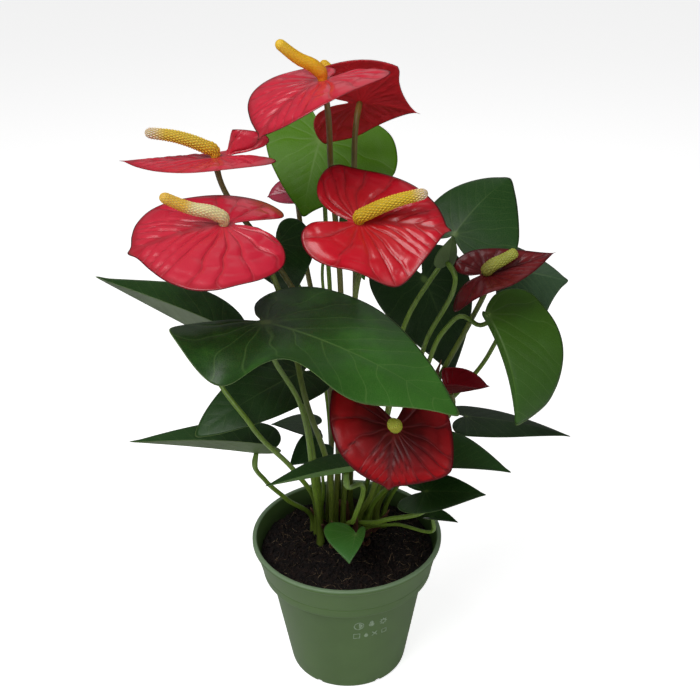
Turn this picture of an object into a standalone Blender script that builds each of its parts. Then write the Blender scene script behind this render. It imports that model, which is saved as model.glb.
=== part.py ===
"""Potted anthurium: a plant of heart-shaped leaves and red spathes in a 12 cm nursery pot.

Metres, +Z up. The origin is the centre of the pot's flat base, and -Y is the front.
Every blade, stalk and flower spike is placed from the centre of the soil's surface.
"""
import math
from collections import namedtuple

import bmesh
import bpy
import numpy as np

MM = 0.001

# Pot
POT_HEIGHT = 95 * MM
RIM_RADIUS = 60 * MM
BASE_RADIUS = 37.5 * MM
COLLAR_HEIGHT = 25 * MM
COLLAR_TAPER = 4.8 * MM
COLLAR_STEP = 5.9 * MM
POT_WALL = 1.4 * MM
POT_FLOOR = 2 * MM
LIP_HEIGHT = 3 * MM
LIP_OVERHANG = 1.2 * MM
DRAIN_HOLES = 6
DRAIN_HOLE_RADIUS = 4 * MM
DRAIN_RING_RADIUS = 23 * MM
DRAIN_SEGMENTS = 12
POT_SEGMENTS = 48

# Soil and the plant's crown
WATERING_SPACE = 11 * MM
SOIL_SEGMENTS = 40
# The plant stands a little right of the pot's middle
PLANT_SHIFT = 3.5 * MM
CROWN_CENTRE = (-6 * MM + PLANT_SHIFT, 18 * MM)
CROWN_RADIUS = 5 * MM
CROWN_HEIGHT = 24 * MM
CROWN_SEGMENTS = 16
# The crown's section from its top down, as shares of its radius and height
CROWN_SECTION = [(0, 1), (0.5, 0.94), (0.75, 0.7), (1, 0.3), (0.9, 0), (0, 0)]

# Plant
PLANT_SCALE = 1.0
BLADE_THICKNESS = 0.8 * MM
PETIOLE_RADIUS = 1.5 * MM
PEDUNCLE_RADIUS = 1.7 * MM
SPADIX_RADIUS = 3.4 * MM
STALK_SPACING = 4.8 * MM
CONTACT_GAP = 0.3 * MM
FOOT_CLEARANCE = 0.2 * MM
SEAT_CLEARANCE = 0.2 * MM

# How finely the plant's surfaces are divided
BLADE_RINGS = 3
BLADE_SPOKES = 24
STALK_POINTS = 11
LEAD_IN = 7 * MM
SPADIX_LEAD_IN = 3 * MM

# An ear starts to stand up at the first share of the blade's length behind the stalk, and is up after the
# second
EAR_START = 0.13
EAR_RISE = 0.1
# A blade stops narrowing or widening at this share of its length
TAPER_END = 0.97
# The lift of one lobe blends into the other's over this share of half the width
LIFT_BLEND = 0.12
NEARLY_FLAT = 1e-6

# Shares of the way along a flower spike, and its thickness there as a share of its radius
SPADIX_SHARES = [0, 0.05, 0.12, 0.28, 0.48, 0.68, 0.86, 0.94, 0.98, 1.0]
SPADIX_SCALES = [0.6, 0.75, 0.92, 1.0, 0.97, 0.9, 0.78, 0.62, 0.44, 0.2]

# Half outlines, from the notch behind the stalk round a lobe to the tip. The first number is a share of
# the blade's length, or of its lobe's length where it is negative; the second is a share of half its width.
LEAF_OUTLINE = [
    (-0.22, 0), (-0.55, 0.12), (-0.90, 0.32), (-1.0, 0.58), (-0.80, 0.84), (-0.35, 0.98), (0.06, 1.0),
    (0.24, 0.93), (0.42, 0.78), (0.60, 0.56), (0.78, 0.31), (0.91, 0.12), (1, 0),
]
SPATHE_OUTLINE = [
    (-0.25, 0), (-0.60, 0.10), (-0.92, 0.30), (-1.0, 0.58), (-0.80, 0.85), (-0.30, 1.0), (0.15, 1.0),
    (0.38, 0.92), (0.60, 0.74), (0.78, 0.47), (0.88, 0.24), (0.94, 0.07), (1, 0),
]

# A blade, in millimetres above the soil's centre and in degrees. base is where the stalk meets it and tip
# is its point. arch is how far the midrib bends down on its way to the tip, roll lifts the left half, fold
# lifts both halves and cup curls their edges up. lift raises the lobes, ear stands one lobe up beside the
# notch, wave ripples the right edge, shear pushes the left half forward, and taper narrows the part near
# the tip or widens it where it is negative.
Blade = namedtuple(
    "Blade",
    "base tip width lobe roll arch fold cup lift_left lift_right ear_right wave wave_count wave_start "
    "shear taper left right lobe_left lobe_right",
    defaults=(0, 10, 0, 0, 0, 0, 0, 0, 1, 0, 0, 0, 1, 1, 1, 1),
)

LEAVES = {
    "leaf_tall_back": Blade((-16, 55, 250), (-26, 30, 212), 80, 20, -10, 25, lift_left=10, lift_right=10,
                            shear=0.2, left=1.2, right=0.85),
    "leaf_upper_right": Blade((61, 20, 204), (96, 50, 227), 60, 8, 28, 30, fold=-10, left=0.75, right=1.15,
                              taper=-0.3),
    "leaf_young": Blade((56, 5, 192), (58, 0, 211), 16, 4, 0, 0, fold=20, cup=10),
    "leaf_back_right": Blade((92, 30, 178), (129, 22, 173), 96, 12, 40, 10, fold=-30, shear=-0.7, left=0.7),
    "leaf_drooping": Blade((78, -10, 167), (94, -38, 110), 72, 12, 40, 60, fold=-40, lift_left=10,
                           lift_right=10, right=0.12, lobe_right=0.3, taper=-0.6),
    "leaf_dark_back": Blade((46, 48, 164), (63, 22, 111), 76, 20, 0, 30, left=0.85),
    "leaf_front_large": Blade((-43, -62, 188), (53, -108, 158), 86, 34, 4, 25, lift_right=-8, wave=14,
                              wave_count=1.4, wave_start=-0.2, shear=0.3, taper=-0.2, left=1.08,
                              lobe_left=0.6, lobe_right=0.95),
    "leaf_upper_left": Blade((-72, -18, 154), (-137, -25, 199), 64, 18, 8, 0, fold=32, lift_left=10,
                             lift_right=10, shear=-0.3),
    "leaf_centre_back": Blade((-42, 28, 196), (-33, 14, 168), 48, 14, 0, 20),
    "leaf_left_front": Blade((-29, -8, 130), (-88, -40, 107), 58, 14, -20, 15, left=0.7, right=0.75,
                             taper=-0.35),
    "leaf_low_left": Blade((-57, -12, 78), (-132, -14, 88), 46, 14, 12, 5, fold=32, cup=5),
    "leaf_small_left": Blade((-24, 18, 79), (-50, 18, 80), 28, 6, 0, 20),
    "leaf_low_front": Blade((-3, -62, 96), (-47, -75, 96), 28, 10, 14, 5, fold=32),
    "leaf_small_soil": Blade((2, -27, 28), (-2, -45, 20), 26, 7, 0, 20, fold=8, left=0.45, right=1.5),
    "leaf_long_right": Blade((72, 18, 84), (137, 14, 71), 36, 9, 2, 15, fold=-10),
    "leaf_mid_right": Blade((48, -26, 76), (93, -34, 76), 56, 12, -5, 15, fold=25),
    "leaf_low_right": Blade((43, -45, 71), (76, -55, 75), 45, 14, 5, 10, fold=5, left=0.7),
}

FLOWERS = {
    "flower_top": Blade((-12, -20, 302), (-44, -46, 279), 74, 20, 4, 40, shear=-0.35, left=0.85, right=0.95),
    "flower_top_back": Blade((7, 22, 280), (40, 15, 275), 62, 26, -60, 20, shear=-0.65, taper=0.9,
                             left=1.05),
    "flower_left_back": Blade((-71, 0, 257), (-122, -4, 257), 54, 34, 3, -10, fold=-3, lift_left=-8,
                              lift_right=-8, ear_right=85, left=0.9, right=0.52, lobe_left=0.95,
                              lobe_right=0.85),
    "flower_left_front": Blade((-63, -50, 237), (-109, -68, 229), 90, 28, -12, 20, fold=-6, lift_right=-15,
                               lobe_left=0.85, lobe_right=1.35, taper=-0.25, right=0.8),
    "flower_centre": Blade((6, -40, 234), (52, -52, 233), 78, 26, 32, 10, lift_left=20, lift_right=50,
                           wave=7, wave_count=0.8, wave_start=0.25, shear=-0.55, left=0.9, right=0.92),
    "flower_right": Blade((77, -8, 191), (116, -4, 202), 42, 28, 30, -10, fold=15, cup=20, lift_right=-50,
                          taper=0.5, left=0.7, lobe_left=0.6),
    "flower_low_front": Blade((23, -78, 133), (19, -98, 108), 70, 22, -10, 20, shear=0.45, taper=-0.1,
                              left=0.9, lobe_right=0.4),
    "flower_bud": Blade((60, 5, 108), (83, 0, 115), 34, 4, 20, -10, fold=40, cup=50),
}

# Where each flower spike ends, in millimetres above the soil's centre, and how far its middle bows up.
SPADICES = {
    "flower_top": ((-34, -28, 323), 1),
    "flower_top_back": ((-14, 34, 300), 1),
    "flower_left_back": ((-107, -3, 272), 4),
    "flower_left_front": ((-92, -60, 256), 1),
    "flower_centre": ((40, -48, 252), 4),
    "flower_right": ((93, -8, 204), 2),
    "flower_low_front": ((21, -99, 149), 1),
}

# Each stalk's foot, in steps of a triangular grid round the crown, and the points it passes on its way up.
STALKS = {
    "leaf_tall_back": ((-2, 3), [(-10, 46, 100), (-14, 62, 200)]),
    "leaf_upper_right": ((2, 1), [(20, 8, 80), (34, 4, 160)]),
    "leaf_young": ((3, 1), [(28, 18, 70), (45, 10, 140)]),
    "leaf_back_right": ((2, 3), [(48, 44, 60), (88, 44, 115), (98, 38, 155)]),
    "leaf_drooping": ((4, -1), [(28, 4, 70), (45, 0, 128), (54, 2, 150), (65, 5, 159), (75, 5, 153)]),
    "leaf_dark_back": ((3, 2), [(28, 46, 90)]),
    "leaf_front_large": ((-1, -4), [(-23, -20, 63), (-28, -46, 131)]),
    "leaf_upper_left": ((-3, -1), [(-34, -32, 79), (-55, -48, 118)]),
    "leaf_centre_back": ((-2, 1), [(-16, 34, 100), (-32, 34, 170)]),
    "leaf_left_front": ((-2, -2), [(-22, -13, 70)]),
    "leaf_low_left": ((-4, 0), [(-41, 2, 35), (-53, -8, 56)]),
    "leaf_small_left": ((-4, 2), [(-22, 26, 40)]),
    "leaf_low_front": ((2, -3), [(1, -25, 38), (5, -50, 80)]),
    "leaf_small_soil": ((2, -4), [(-4, -14, 20)]),
    "leaf_long_right": ((5, 1), [(44, 22, 50)]),
    "leaf_mid_right": ((4, -2), [(24, -4, 48)]),
    "leaf_low_right": ((3, -3), [(18, -24, 36)]),
    "flower_top": ((0, -2), [(-6, -2, 100), (-5, -1, 182), (-9, -4, 250)]),
    "flower_top_back": ((0, 2), [(2, 24, 100), (4, 20, 195)]),
    "flower_left_back": ((-2, 0), [(-12, 12, 100), (-15, 7, 135), (-28, 3, 170), (-44, 2, 200)]),
    "flower_left_front": ((0, -3), [(-14, -16, 70), (-26, -34, 130), (-36, -16, 175), (-46, -18, 205)]),
    "flower_centre": ((1, -2), [(0, -6, 100), (3, -18, 180)]),
    "flower_right": ((4, 0), [(32, 10, 60), (56, 12, 120), (71, 12, 152)]),
    "flower_low_front": ((3, -2), [(12, -16, 50), (19, -50, 105)]),
    "flower_bud": ((4, 1), [(36, 16, 55)]),
}

# Sizes that follow from the ones above
SOIL_TOP = POT_HEIGHT - WATERING_SPACE
COLLAR_FOOT = POT_HEIGHT - COLLAR_HEIGHT
COLLAR_LEDGE = COLLAR_FOOT - 0.01 * MM


def clear_scene():
    """Remove every object from the open scene."""
    for item in list(bpy.data.objects):
        bpy.data.objects.remove(item, do_unlink=True)


def make_collection(name):
    """Add a collection to the scene."""
    group = bpy.data.collections.new(name)
    bpy.context.scene.collection.children.link(group)
    return group


def make_material(name, colour, roughness, metallic=0.0):
    """Make a Principled material of one colour."""
    material = bpy.data.materials.new(name)
    material.use_nodes = True
    shader = material.node_tree.nodes["Principled BSDF"]
    shader.inputs["Base Color"].default_value = (*colour, 1)
    shader.inputs["Roughness"].default_value = roughness
    shader.inputs["Metallic"].default_value = metallic
    material.diffuse_color = (*colour, 1)
    return material


def add_object(group, name, data, material):
    """Link a new object to a collection and give it a material of its own."""
    item = bpy.data.objects.new(name, data)
    item.data.materials.append(material)
    group.objects.link(item)
    return item


def add_turned(group, name, profile, segments, material):
    """Turn a profile of (radius, height) points, which starts and ends on the axis, into a solid."""
    mesh = bpy.data.meshes.new(name)
    points = [(radius, 0, height) for radius, height in profile]
    edges = [(index, index + 1) for index in range(len(points) - 1)]
    mesh.from_pydata(points, edges, [])
    item = add_object(group, name, mesh, material)
    screw = item.modifiers.new("turn", "SCREW")
    screw.steps = segments
    screw.render_steps = segments
    screw.use_merge_vertices = True
    screw.merge_threshold = 0.01 * MM
    screw.use_smooth_shade = True
    return item


def outer_radius(height):
    """Radius of the pot's outside: a tapered body, a small step and a flared collar."""
    if height < COLLAR_FOOT:
        body_top = RIM_RADIUS - COLLAR_TAPER - COLLAR_STEP
        return BASE_RADIUS + (body_top - BASE_RADIUS) * height / COLLAR_FOOT
    share = (height - COLLAR_FOOT) / COLLAR_HEIGHT
    return RIM_RADIUS - LIP_OVERHANG - COLLAR_TAPER * (1 - share)


def pot_profile():
    """The pot's section, up the inside from the floor, over the lip and down the outside."""
    top = POT_HEIGHT
    collar = COLLAR_FOOT
    below = COLLAR_LEDGE
    lip_foot = top - LIP_HEIGHT
    return [
        (0, POT_FLOOR),
        (outer_radius(POT_FLOOR) - POT_WALL, POT_FLOOR),
        (outer_radius(below) - POT_WALL, collar + POT_WALL),
        (outer_radius(collar) - POT_WALL, collar + POT_WALL),
        (outer_radius(top) - POT_WALL, top - LIP_OVERHANG / 2),
        (outer_radius(top) - POT_WALL / 2, top),
        (RIM_RADIUS - LIP_OVERHANG / 2, top),
        (RIM_RADIUS, top - LIP_OVERHANG / 2),
        (RIM_RADIUS, lip_foot),
        (outer_radius(lip_foot), lip_foot - LIP_OVERHANG / 2),
        (outer_radius(collar), collar),
        (outer_radius(below), collar),
        (BASE_RADIUS, 0),
        (0, 0),
    ]


def add_pot(group, cutters, material):
    """The nursery pot, with drain holes through its floor."""
    pot = add_turned(group, "pot", pot_profile(), POT_SEGMENTS, material)
    for number in range(DRAIN_HOLES):
        angle = math.tau * (number / DRAIN_HOLES + 0.5 / POT_SEGMENTS)
        mesh = bpy.data.meshes.new(f"drain_cutter_{number + 1}")
        cage = bmesh.new()
        bmesh.ops.create_cone(
            cage, cap_ends=True, segments=DRAIN_SEGMENTS, radius1=DRAIN_HOLE_RADIUS,
            radius2=DRAIN_HOLE_RADIUS, depth=3 * POT_FLOOR,
        )
        cage.to_mesh(mesh)
        cage.free()
        cutter = bpy.data.objects.new(mesh.name, mesh)
        cutter.location = (
            DRAIN_RING_RADIUS * math.cos(angle), DRAIN_RING_RADIUS * math.sin(angle), POT_FLOOR / 2,
        )
        cutter.hide_render = True
        cutter.display_type = "WIRE"
        cutters.objects.link(cutter)
        hole = pot.modifiers.new(f"drain_{number + 1}", "BOOLEAN")
        hole.operation = "DIFFERENCE"
        hole.solver = "EXACT"
        hole.object = cutter
    return pot


def add_soil(group, material):
    """The peat that fills the pot up to the watering space, a contact gap inside its walls."""
    inset = POT_WALL + CONTACT_GAP
    bottom = POT_FLOOR + CONTACT_GAP
    shoulder = COLLAR_FOOT + POT_WALL + CONTACT_GAP
    profile = [
        (0, SOIL_TOP),
        (outer_radius(SOIL_TOP) - inset - CONTACT_GAP, SOIL_TOP),
        (outer_radius(COLLAR_FOOT) - inset - CONTACT_GAP, shoulder),
        (outer_radius(COLLAR_LEDGE) - inset - 2 * CONTACT_GAP, shoulder),
        (outer_radius(bottom) - inset - CONTACT_GAP, bottom),
        (0, bottom),
    ]
    return add_turned(group, "soil", profile, SOIL_SEGMENTS, material)


def add_crown(group, material):
    """The short rootstock that the stalks stand round."""
    profile = [(CROWN_RADIUS * across, CROWN_HEIGHT * up) for across, up in CROWN_SECTION]
    crown = add_turned(group, "crown", profile, CROWN_SEGMENTS, material)
    crown.location = (*CROWN_CENTRE, SOIL_TOP + CONTACT_GAP)
    return crown


def planted(point):
    """A point given in millimetres above the soil's centre, in metres in the plant's frame."""
    return np.array(point, float) * MM * PLANT_SCALE + (PLANT_SHIFT, 0, SOIL_TOP)


def blade_frame(blade):
    """The blade's length and its axes at the stalk: along the midrib, to the left and up."""
    chord = planted(blade.tip) - planted(blade.base)
    span = np.linalg.norm(chord)
    half_arch = math.radians(blade.arch) / 2
    length = span * (half_arch / math.sin(half_arch) if blade.arch else 1)
    heading = math.atan2(chord[1], chord[0])
    climb = math.asin(chord[2] / span) + half_arch
    flat = math.cos(climb)
    along = np.array([math.cos(heading) * flat, math.sin(heading) * flat, math.sin(climb)])
    left = np.array([-math.sin(heading), math.cos(heading), 0])
    return length, along, left, np.cross(along, left)


def blade_normal(blade):
    """The direction out of the blade's upper side where the stalk meets it."""
    _, _, left, up = blade_frame(blade)
    roll = math.radians(blade.roll)
    return up * math.cos(roll) - left * math.sin(roll)


def half_outline(blade, outline, side):
    """One half of the flat outline, from the notch to the tip. side is 1 on the left and -1 on the right."""
    length = blade_frame(blade)[0]
    share = np.array(outline)
    lobe = blade.lobe * (blade.lobe_left if side > 0 else blade.lobe_right) * MM * PLANT_SCALE
    width = blade.width * (blade.left if side > 0 else blade.right) * MM * PLANT_SCALE
    forward = share[:, 0]
    x = np.where(forward > 0, forward * length, forward * lobe)
    y = side * share[:, 1] * width / 2 * (1 - np.clip(forward, 0, TAPER_END)) ** blade.taper
    return np.stack([x, y], axis=1)


def round_outline(blade, outline, count):
    """count points on the smooth closed curve through both halves (a Catmull-Rom spline)."""
    left = half_outline(blade, outline, 1)
    right = half_outline(blade, outline, -1)
    knots = np.concatenate([left, right[-2:0:-1]])
    places = np.linspace(0, len(knots), count, endpoint=False)
    index = places.astype(int)
    t = (places - index)[:, None]
    before, start, end, after = (knots[(index + step) % len(knots)] for step in (-1, 0, 1, 2))
    return 0.5 * (
        2 * start + (end - before) * t + (2 * before - 5 * start + 4 * end - after) * t ** 2
        + (3 * start - before - 3 * end + after) * t ** 3
    )


def bend_blade(blade, x, y):
    """Bend flat blade points into place.

    The midrib is an arc of the blade's arch, and its lobes an arc of their lift. Across it each half
    rises at the fold, curls by the cup, and is turned about the midrib by the roll.
    """
    length, along, left, up = blade_frame(blade)
    half = blade.width * MM * PLANT_SCALE / 2
    x = x + blade.shear * y * np.clip(1 - np.abs(x) / length, 0, 1)
    share = np.tanh(y / (LIFT_BLEND * half)) / 2 + 0.5
    lift = np.radians(blade.lift_left) * share + np.radians(blade.lift_right) * (1 - share)
    rate = np.where(x > 0, -math.radians(blade.arch) / length, lift / (blade.lobe * MM * PLANT_SCALE))
    rate = np.where(np.abs(rate) < NEARLY_FLAT, NEARLY_FLAT, rate)
    turn = rate * x
    ear = np.clip((-EAR_START - x / length) / EAR_RISE, 0, 1)
    ear = ear * ear * (3 - 2 * ear)
    fold = np.radians(blade.fold + ear * np.where(y < 0, blade.ear_right, 0))
    curl = max(math.radians(blade.cup), NEARLY_FLAT) / half
    out = np.abs(y)
    across = np.sign(y) * (np.sin(fold + curl * out) - np.sin(fold)) / curl
    height = (np.cos(fold) - np.cos(fold + curl * out)) / curl
    ripple = np.sin(math.tau * (x / length * blade.wave_count + blade.wave_start))
    height = height + np.where(y < 0, blade.wave * MM * PLANT_SCALE, 0) * (out / half) ** 2 * ripple
    roll = math.radians(blade.roll)
    sideways = across * math.cos(roll) - height * math.sin(roll)
    height = across * math.sin(roll) + height * math.cos(roll)
    forward = np.sin(turn) / rate - height * np.sin(turn)
    rise = (1 - np.cos(turn)) / rate + height * np.cos(turn)
    parts = forward[..., None] * along + sideways[..., None] * left + rise[..., None] * up
    return planted(blade.base) + parts


def add_blade(group, name, blade, outline, material):
    """A leaf blade or spathe: rings of points round the stalk's place, bent and thickened."""
    edge = round_outline(blade, outline, BLADE_SPOKES)
    shares = (np.arange(1, BLADE_RINGS + 1) / BLADE_RINGS)[:, None, None]
    flat = (edge * shares).reshape(-1, 2)
    flat = np.concatenate([[(0, 0)], flat])
    points = bend_blade(blade, flat[:, 0], flat[:, 1])
    faces = []
    for spoke in range(BLADE_SPOKES):
        turn = (spoke + 1) % BLADE_SPOKES
        faces.append((0, 1 + turn, 1 + spoke))
        for ring in range(BLADE_RINGS - 1):
            inner = 1 + ring * BLADE_SPOKES
            outer = inner + BLADE_SPOKES
            faces.append((inner + spoke, inner + turn, outer + turn, outer + spoke))
    mesh = bpy.data.meshes.new(name)
    mesh.from_pydata(points.tolist(), [], faces)
    mesh.shade_smooth()
    item = add_object(group, name, mesh, material)
    shell = item.modifiers.new("thickness", "SOLIDIFY")
    shell.thickness = BLADE_THICKNESS
    shell.offset = 0
    return item


def smooth_path(knots, shares):
    """Points at shares of the way along a smooth curve through the knots (cubic Hermite spans)."""
    knots = np.array(knots)
    steps = np.linalg.norm(np.diff(knots, axis=0), axis=1)
    at = np.concatenate([[0], np.cumsum(steps)])
    slopes = np.gradient(knots, at, axis=0)
    places = np.array(shares) * at[-1]
    index = np.clip(np.searchsorted(at, places, side="right") - 1, 0, len(knots) - 2)
    span = steps[index][:, None]
    t = (places[:, None] - at[index][:, None]) / span
    start, end = knots[index], knots[index + 1]
    return (
        (2 * t ** 3 - 3 * t ** 2 + 1) * start + (t ** 3 - 2 * t ** 2 + t) * span * slopes[index]
        + (3 * t ** 2 - 2 * t ** 3) * end + (t ** 3 - t ** 2) * span * slopes[index + 1]
    )


def add_tube(group, name, points, radius, scales, material):
    """A closed tube along points, scaled at each of them."""
    curve = bpy.data.curves.new(name, "CURVE")
    curve.dimensions = "3D"
    curve.bevel_depth = radius
    curve.bevel_resolution = 2
    curve.use_fill_caps = True
    spline = curve.splines.new("POLY")
    spline.points.add(len(points) - 1)
    for place, point, scale in zip(spline.points, points, scales):
        place.co = (*point, 1)
        place.radius = scale
    spline.use_smooth = True
    return add_object(group, name, curve, material)


def hold_off(blade, radius):
    """How far a round stalk's end stays from the blade's middle surface so that its rim clears the fold."""
    slope = math.radians(abs(blade.fold))
    return BLADE_THICKNESS / 2 + CONTACT_GAP + radius * math.tan(slope) + SEAT_CLEARANCE


def add_stalk(group, name, blade, stalk, radius, material):
    """A petiole or peduncle, from its foot beside the crown to the underside of its blade."""
    (column, row), passes = stalk
    foot = np.array([
        CROWN_CENTRE[0] + (column + row / 2) * STALK_SPACING,
        CROWN_CENTRE[1] + row * math.sin(math.radians(60)) * STALK_SPACING,
        SOIL_TOP + CONTACT_GAP + FOOT_CLEARANCE,
    ])
    away = -blade_normal(blade)
    end = planted(blade.base) + away * hold_off(blade, radius)
    knots = [foot, foot + (0, 0, LEAD_IN)]
    knots += [planted(place) for place in passes]
    knots += [end + away * LEAD_IN, end]
    lead = LEAD_IN / np.linalg.norm(np.diff(knots, axis=0), axis=1).sum()
    shares = [0, lead / 2, *np.linspace(lead, 1 - lead, STALK_POINTS - 4), 1 - lead / 2, 1]
    points = smooth_path(knots, shares)
    return add_tube(group, name, points, radius, np.ones(len(points)), material)


def add_spadix(group, name, blade, tip, bow, material):
    """A flower spike: it leaves the spathe squarely, bends towards its tip and ends round."""
    up = blade_normal(blade)
    start = planted(blade.base) + up * hold_off(blade, SPADIX_RADIUS)
    end = planted(tip)
    middle = (start + end) / 2 + up * bow * MM
    lead = start + up * SPADIX_LEAD_IN
    knots = [start, lead, lead + up * MM + (end - start) * 0.15, middle, end]
    points = smooth_path(knots, SPADIX_SHARES)
    return add_tube(group, name, points, SPADIX_RADIUS, SPADIX_SCALES, material)


def main():
    """Build the pot, the soil and every piece of the plant."""
    clear_scene()
    parts = make_collection("potted_anthurium")
    cutters = make_collection("cutters")
    add_pot(parts, cutters, make_material("pot_green", (0.13, 0.26, 0.12), 0.45))
    add_soil(parts, make_material("peat", (0.02, 0.012, 0.008), 0.95))
    add_crown(parts, make_material("crown_brown", (0.16, 0.05, 0.03), 0.8))
    for name, blade in LEAVES.items():
        green = make_material(f"{name}_green", (0.03, 0.12, 0.03), 0.35)
        add_blade(parts, f"{name}_blade", blade, LEAF_OUTLINE, green)
        stalk_green = make_material(f"{name}_stalk_green", (0.14, 0.25, 0.05), 0.4)
        add_stalk(parts, f"{name}_petiole", blade, STALKS[name], PETIOLE_RADIUS, stalk_green)
    for name, spathe in FLOWERS.items():
        red = make_material(f"{name}_red", (0.6, 0.01, 0.02), 0.2)
        add_blade(parts, f"{name}_spathe", spathe, SPATHE_OUTLINE, red)
        stalk_brown = make_material(f"{name}_stalk_olive", (0.16, 0.14, 0.04), 0.4)
        add_stalk(parts, f"{name}_peduncle", spathe, STALKS[name], PEDUNCLE_RADIUS, stalk_brown)
    for name, (tip, bow) in SPADICES.items():
        yellow = make_material(f"{name}_yellow", (0.85, 0.5, 0.05), 0.5)
        add_spadix(parts, f"{name}_spadix", FLOWERS[name], tip, bow, yellow)


main()
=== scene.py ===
"""Looks of the potted anthurium: veined blades, pebbled spikes, moist peat and a satin nursery pot.

Metres, +Z up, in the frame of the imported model. The plant's own places are in millimetres above the
middle of the soil's surface, as in the design.
"""
import math
from collections import namedtuple

import bpy
import numpy as np
from bpy.props import FloatProperty, FloatVectorProperty, IntProperty, PointerProperty
from mathutils import Matrix, Vector


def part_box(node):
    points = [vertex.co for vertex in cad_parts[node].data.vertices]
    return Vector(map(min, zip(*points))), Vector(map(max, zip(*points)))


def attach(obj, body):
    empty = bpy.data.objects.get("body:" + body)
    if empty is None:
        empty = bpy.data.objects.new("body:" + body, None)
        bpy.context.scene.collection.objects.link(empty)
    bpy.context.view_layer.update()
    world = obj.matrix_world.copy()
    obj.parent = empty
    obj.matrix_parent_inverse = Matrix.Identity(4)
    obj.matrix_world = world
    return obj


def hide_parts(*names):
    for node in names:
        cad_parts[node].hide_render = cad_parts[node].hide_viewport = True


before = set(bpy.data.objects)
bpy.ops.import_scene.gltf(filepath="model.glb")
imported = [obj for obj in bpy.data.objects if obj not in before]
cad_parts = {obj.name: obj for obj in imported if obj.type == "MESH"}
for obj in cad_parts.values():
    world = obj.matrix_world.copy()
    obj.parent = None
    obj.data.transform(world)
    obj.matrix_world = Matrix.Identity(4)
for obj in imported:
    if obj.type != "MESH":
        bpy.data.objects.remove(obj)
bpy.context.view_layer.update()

bl_info = {
    "name": "Potted anthurium",
    "version": (1, 0, 0),
    "blender": (4, 5, 0),
    "location": "View3D > Sidebar > Plant",
    "description": "Builds a flowering anthurium in a nursery pot",
    "category": "Add Mesh",
}

MM = 0.001
TAU = math.tau
TINY = 1e-9

SOIL_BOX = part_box("soil")
SOIL_TOP = SOIL_BOX[1].z
SOIL_RADIUS = SOIL_BOX[1].x
POT_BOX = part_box("pot")
RIM_RADIUS = POT_BOX[1].x
POT_HEIGHT = POT_BOX[1].z

# Plant sizes that the design shares
PLANT_SHIFT = 3.5 * MM
CROWN_CENTRE = (-6 * MM + PLANT_SHIFT, 18 * MM)
STALK_SPACING = 4.8 * MM
LEAD_IN = 7 * MM
EAR_START = 0.13
EAR_RISE = 0.1
TAPER_END = 0.97
LIFT_BLEND = 0.12
NEARLY_FLAT = 1e-6

# Half outlines, from the notch behind the stalk round a lobe to the tip. The first number is a share of
# the blade's length, or of its lobe's length where it is negative. The second is a share of half its width.
LEAF_OUTLINE = [
    (-0.22, 0), (-0.55, 0.12), (-0.90, 0.32), (-1.0, 0.58), (-0.80, 0.84), (-0.35, 0.98), (0.06, 1.0),
    (0.24, 0.93), (0.42, 0.78), (0.60, 0.56), (0.78, 0.31), (0.91, 0.12), (1, 0),
]
SPATHE_OUTLINE = [
    (-0.25, 0), (-0.60, 0.10), (-0.92, 0.30), (-1.0, 0.58), (-0.80, 0.85), (-0.30, 1.0), (0.15, 1.0),
    (0.38, 0.92), (0.60, 0.74), (0.78, 0.47), (0.88, 0.24), (0.94, 0.07), (1, 0),
]
SHEATH_OUTLINE = [
    (-0.4, 0), (-0.8, 0.3), (-1.0, 0.6), (-0.7, 0.9), (0.1, 1.0), (0.4, 0.85), (0.65, 0.6), (0.85, 0.3),
    (1, 0),
]

# A blade, in millimetres above the soil's centre and in degrees. base is where the stalk meets it and tip
# is its point. arch is how far the midrib bends down on its way to the tip, roll lifts the left half, fold
# lifts both halves and cup curls their edges up. lift raises the lobes, ear stands one lobe up beside the
# notch, wave ripples the right edge, shear pushes the left half forward, and taper narrows the part near
# the tip or widens it where it is negative.
Blade = namedtuple(
    "Blade",
    "base tip width lobe roll arch fold cup lift_left lift_right ear_right wave wave_count wave_start "
    "shear taper left right lobe_left lobe_right",
    defaults=(0, 10, 0, 0, 0, 0, 0, 0, 1, 0, 0, 0, 1, 1, 1, 1),
)

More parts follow.
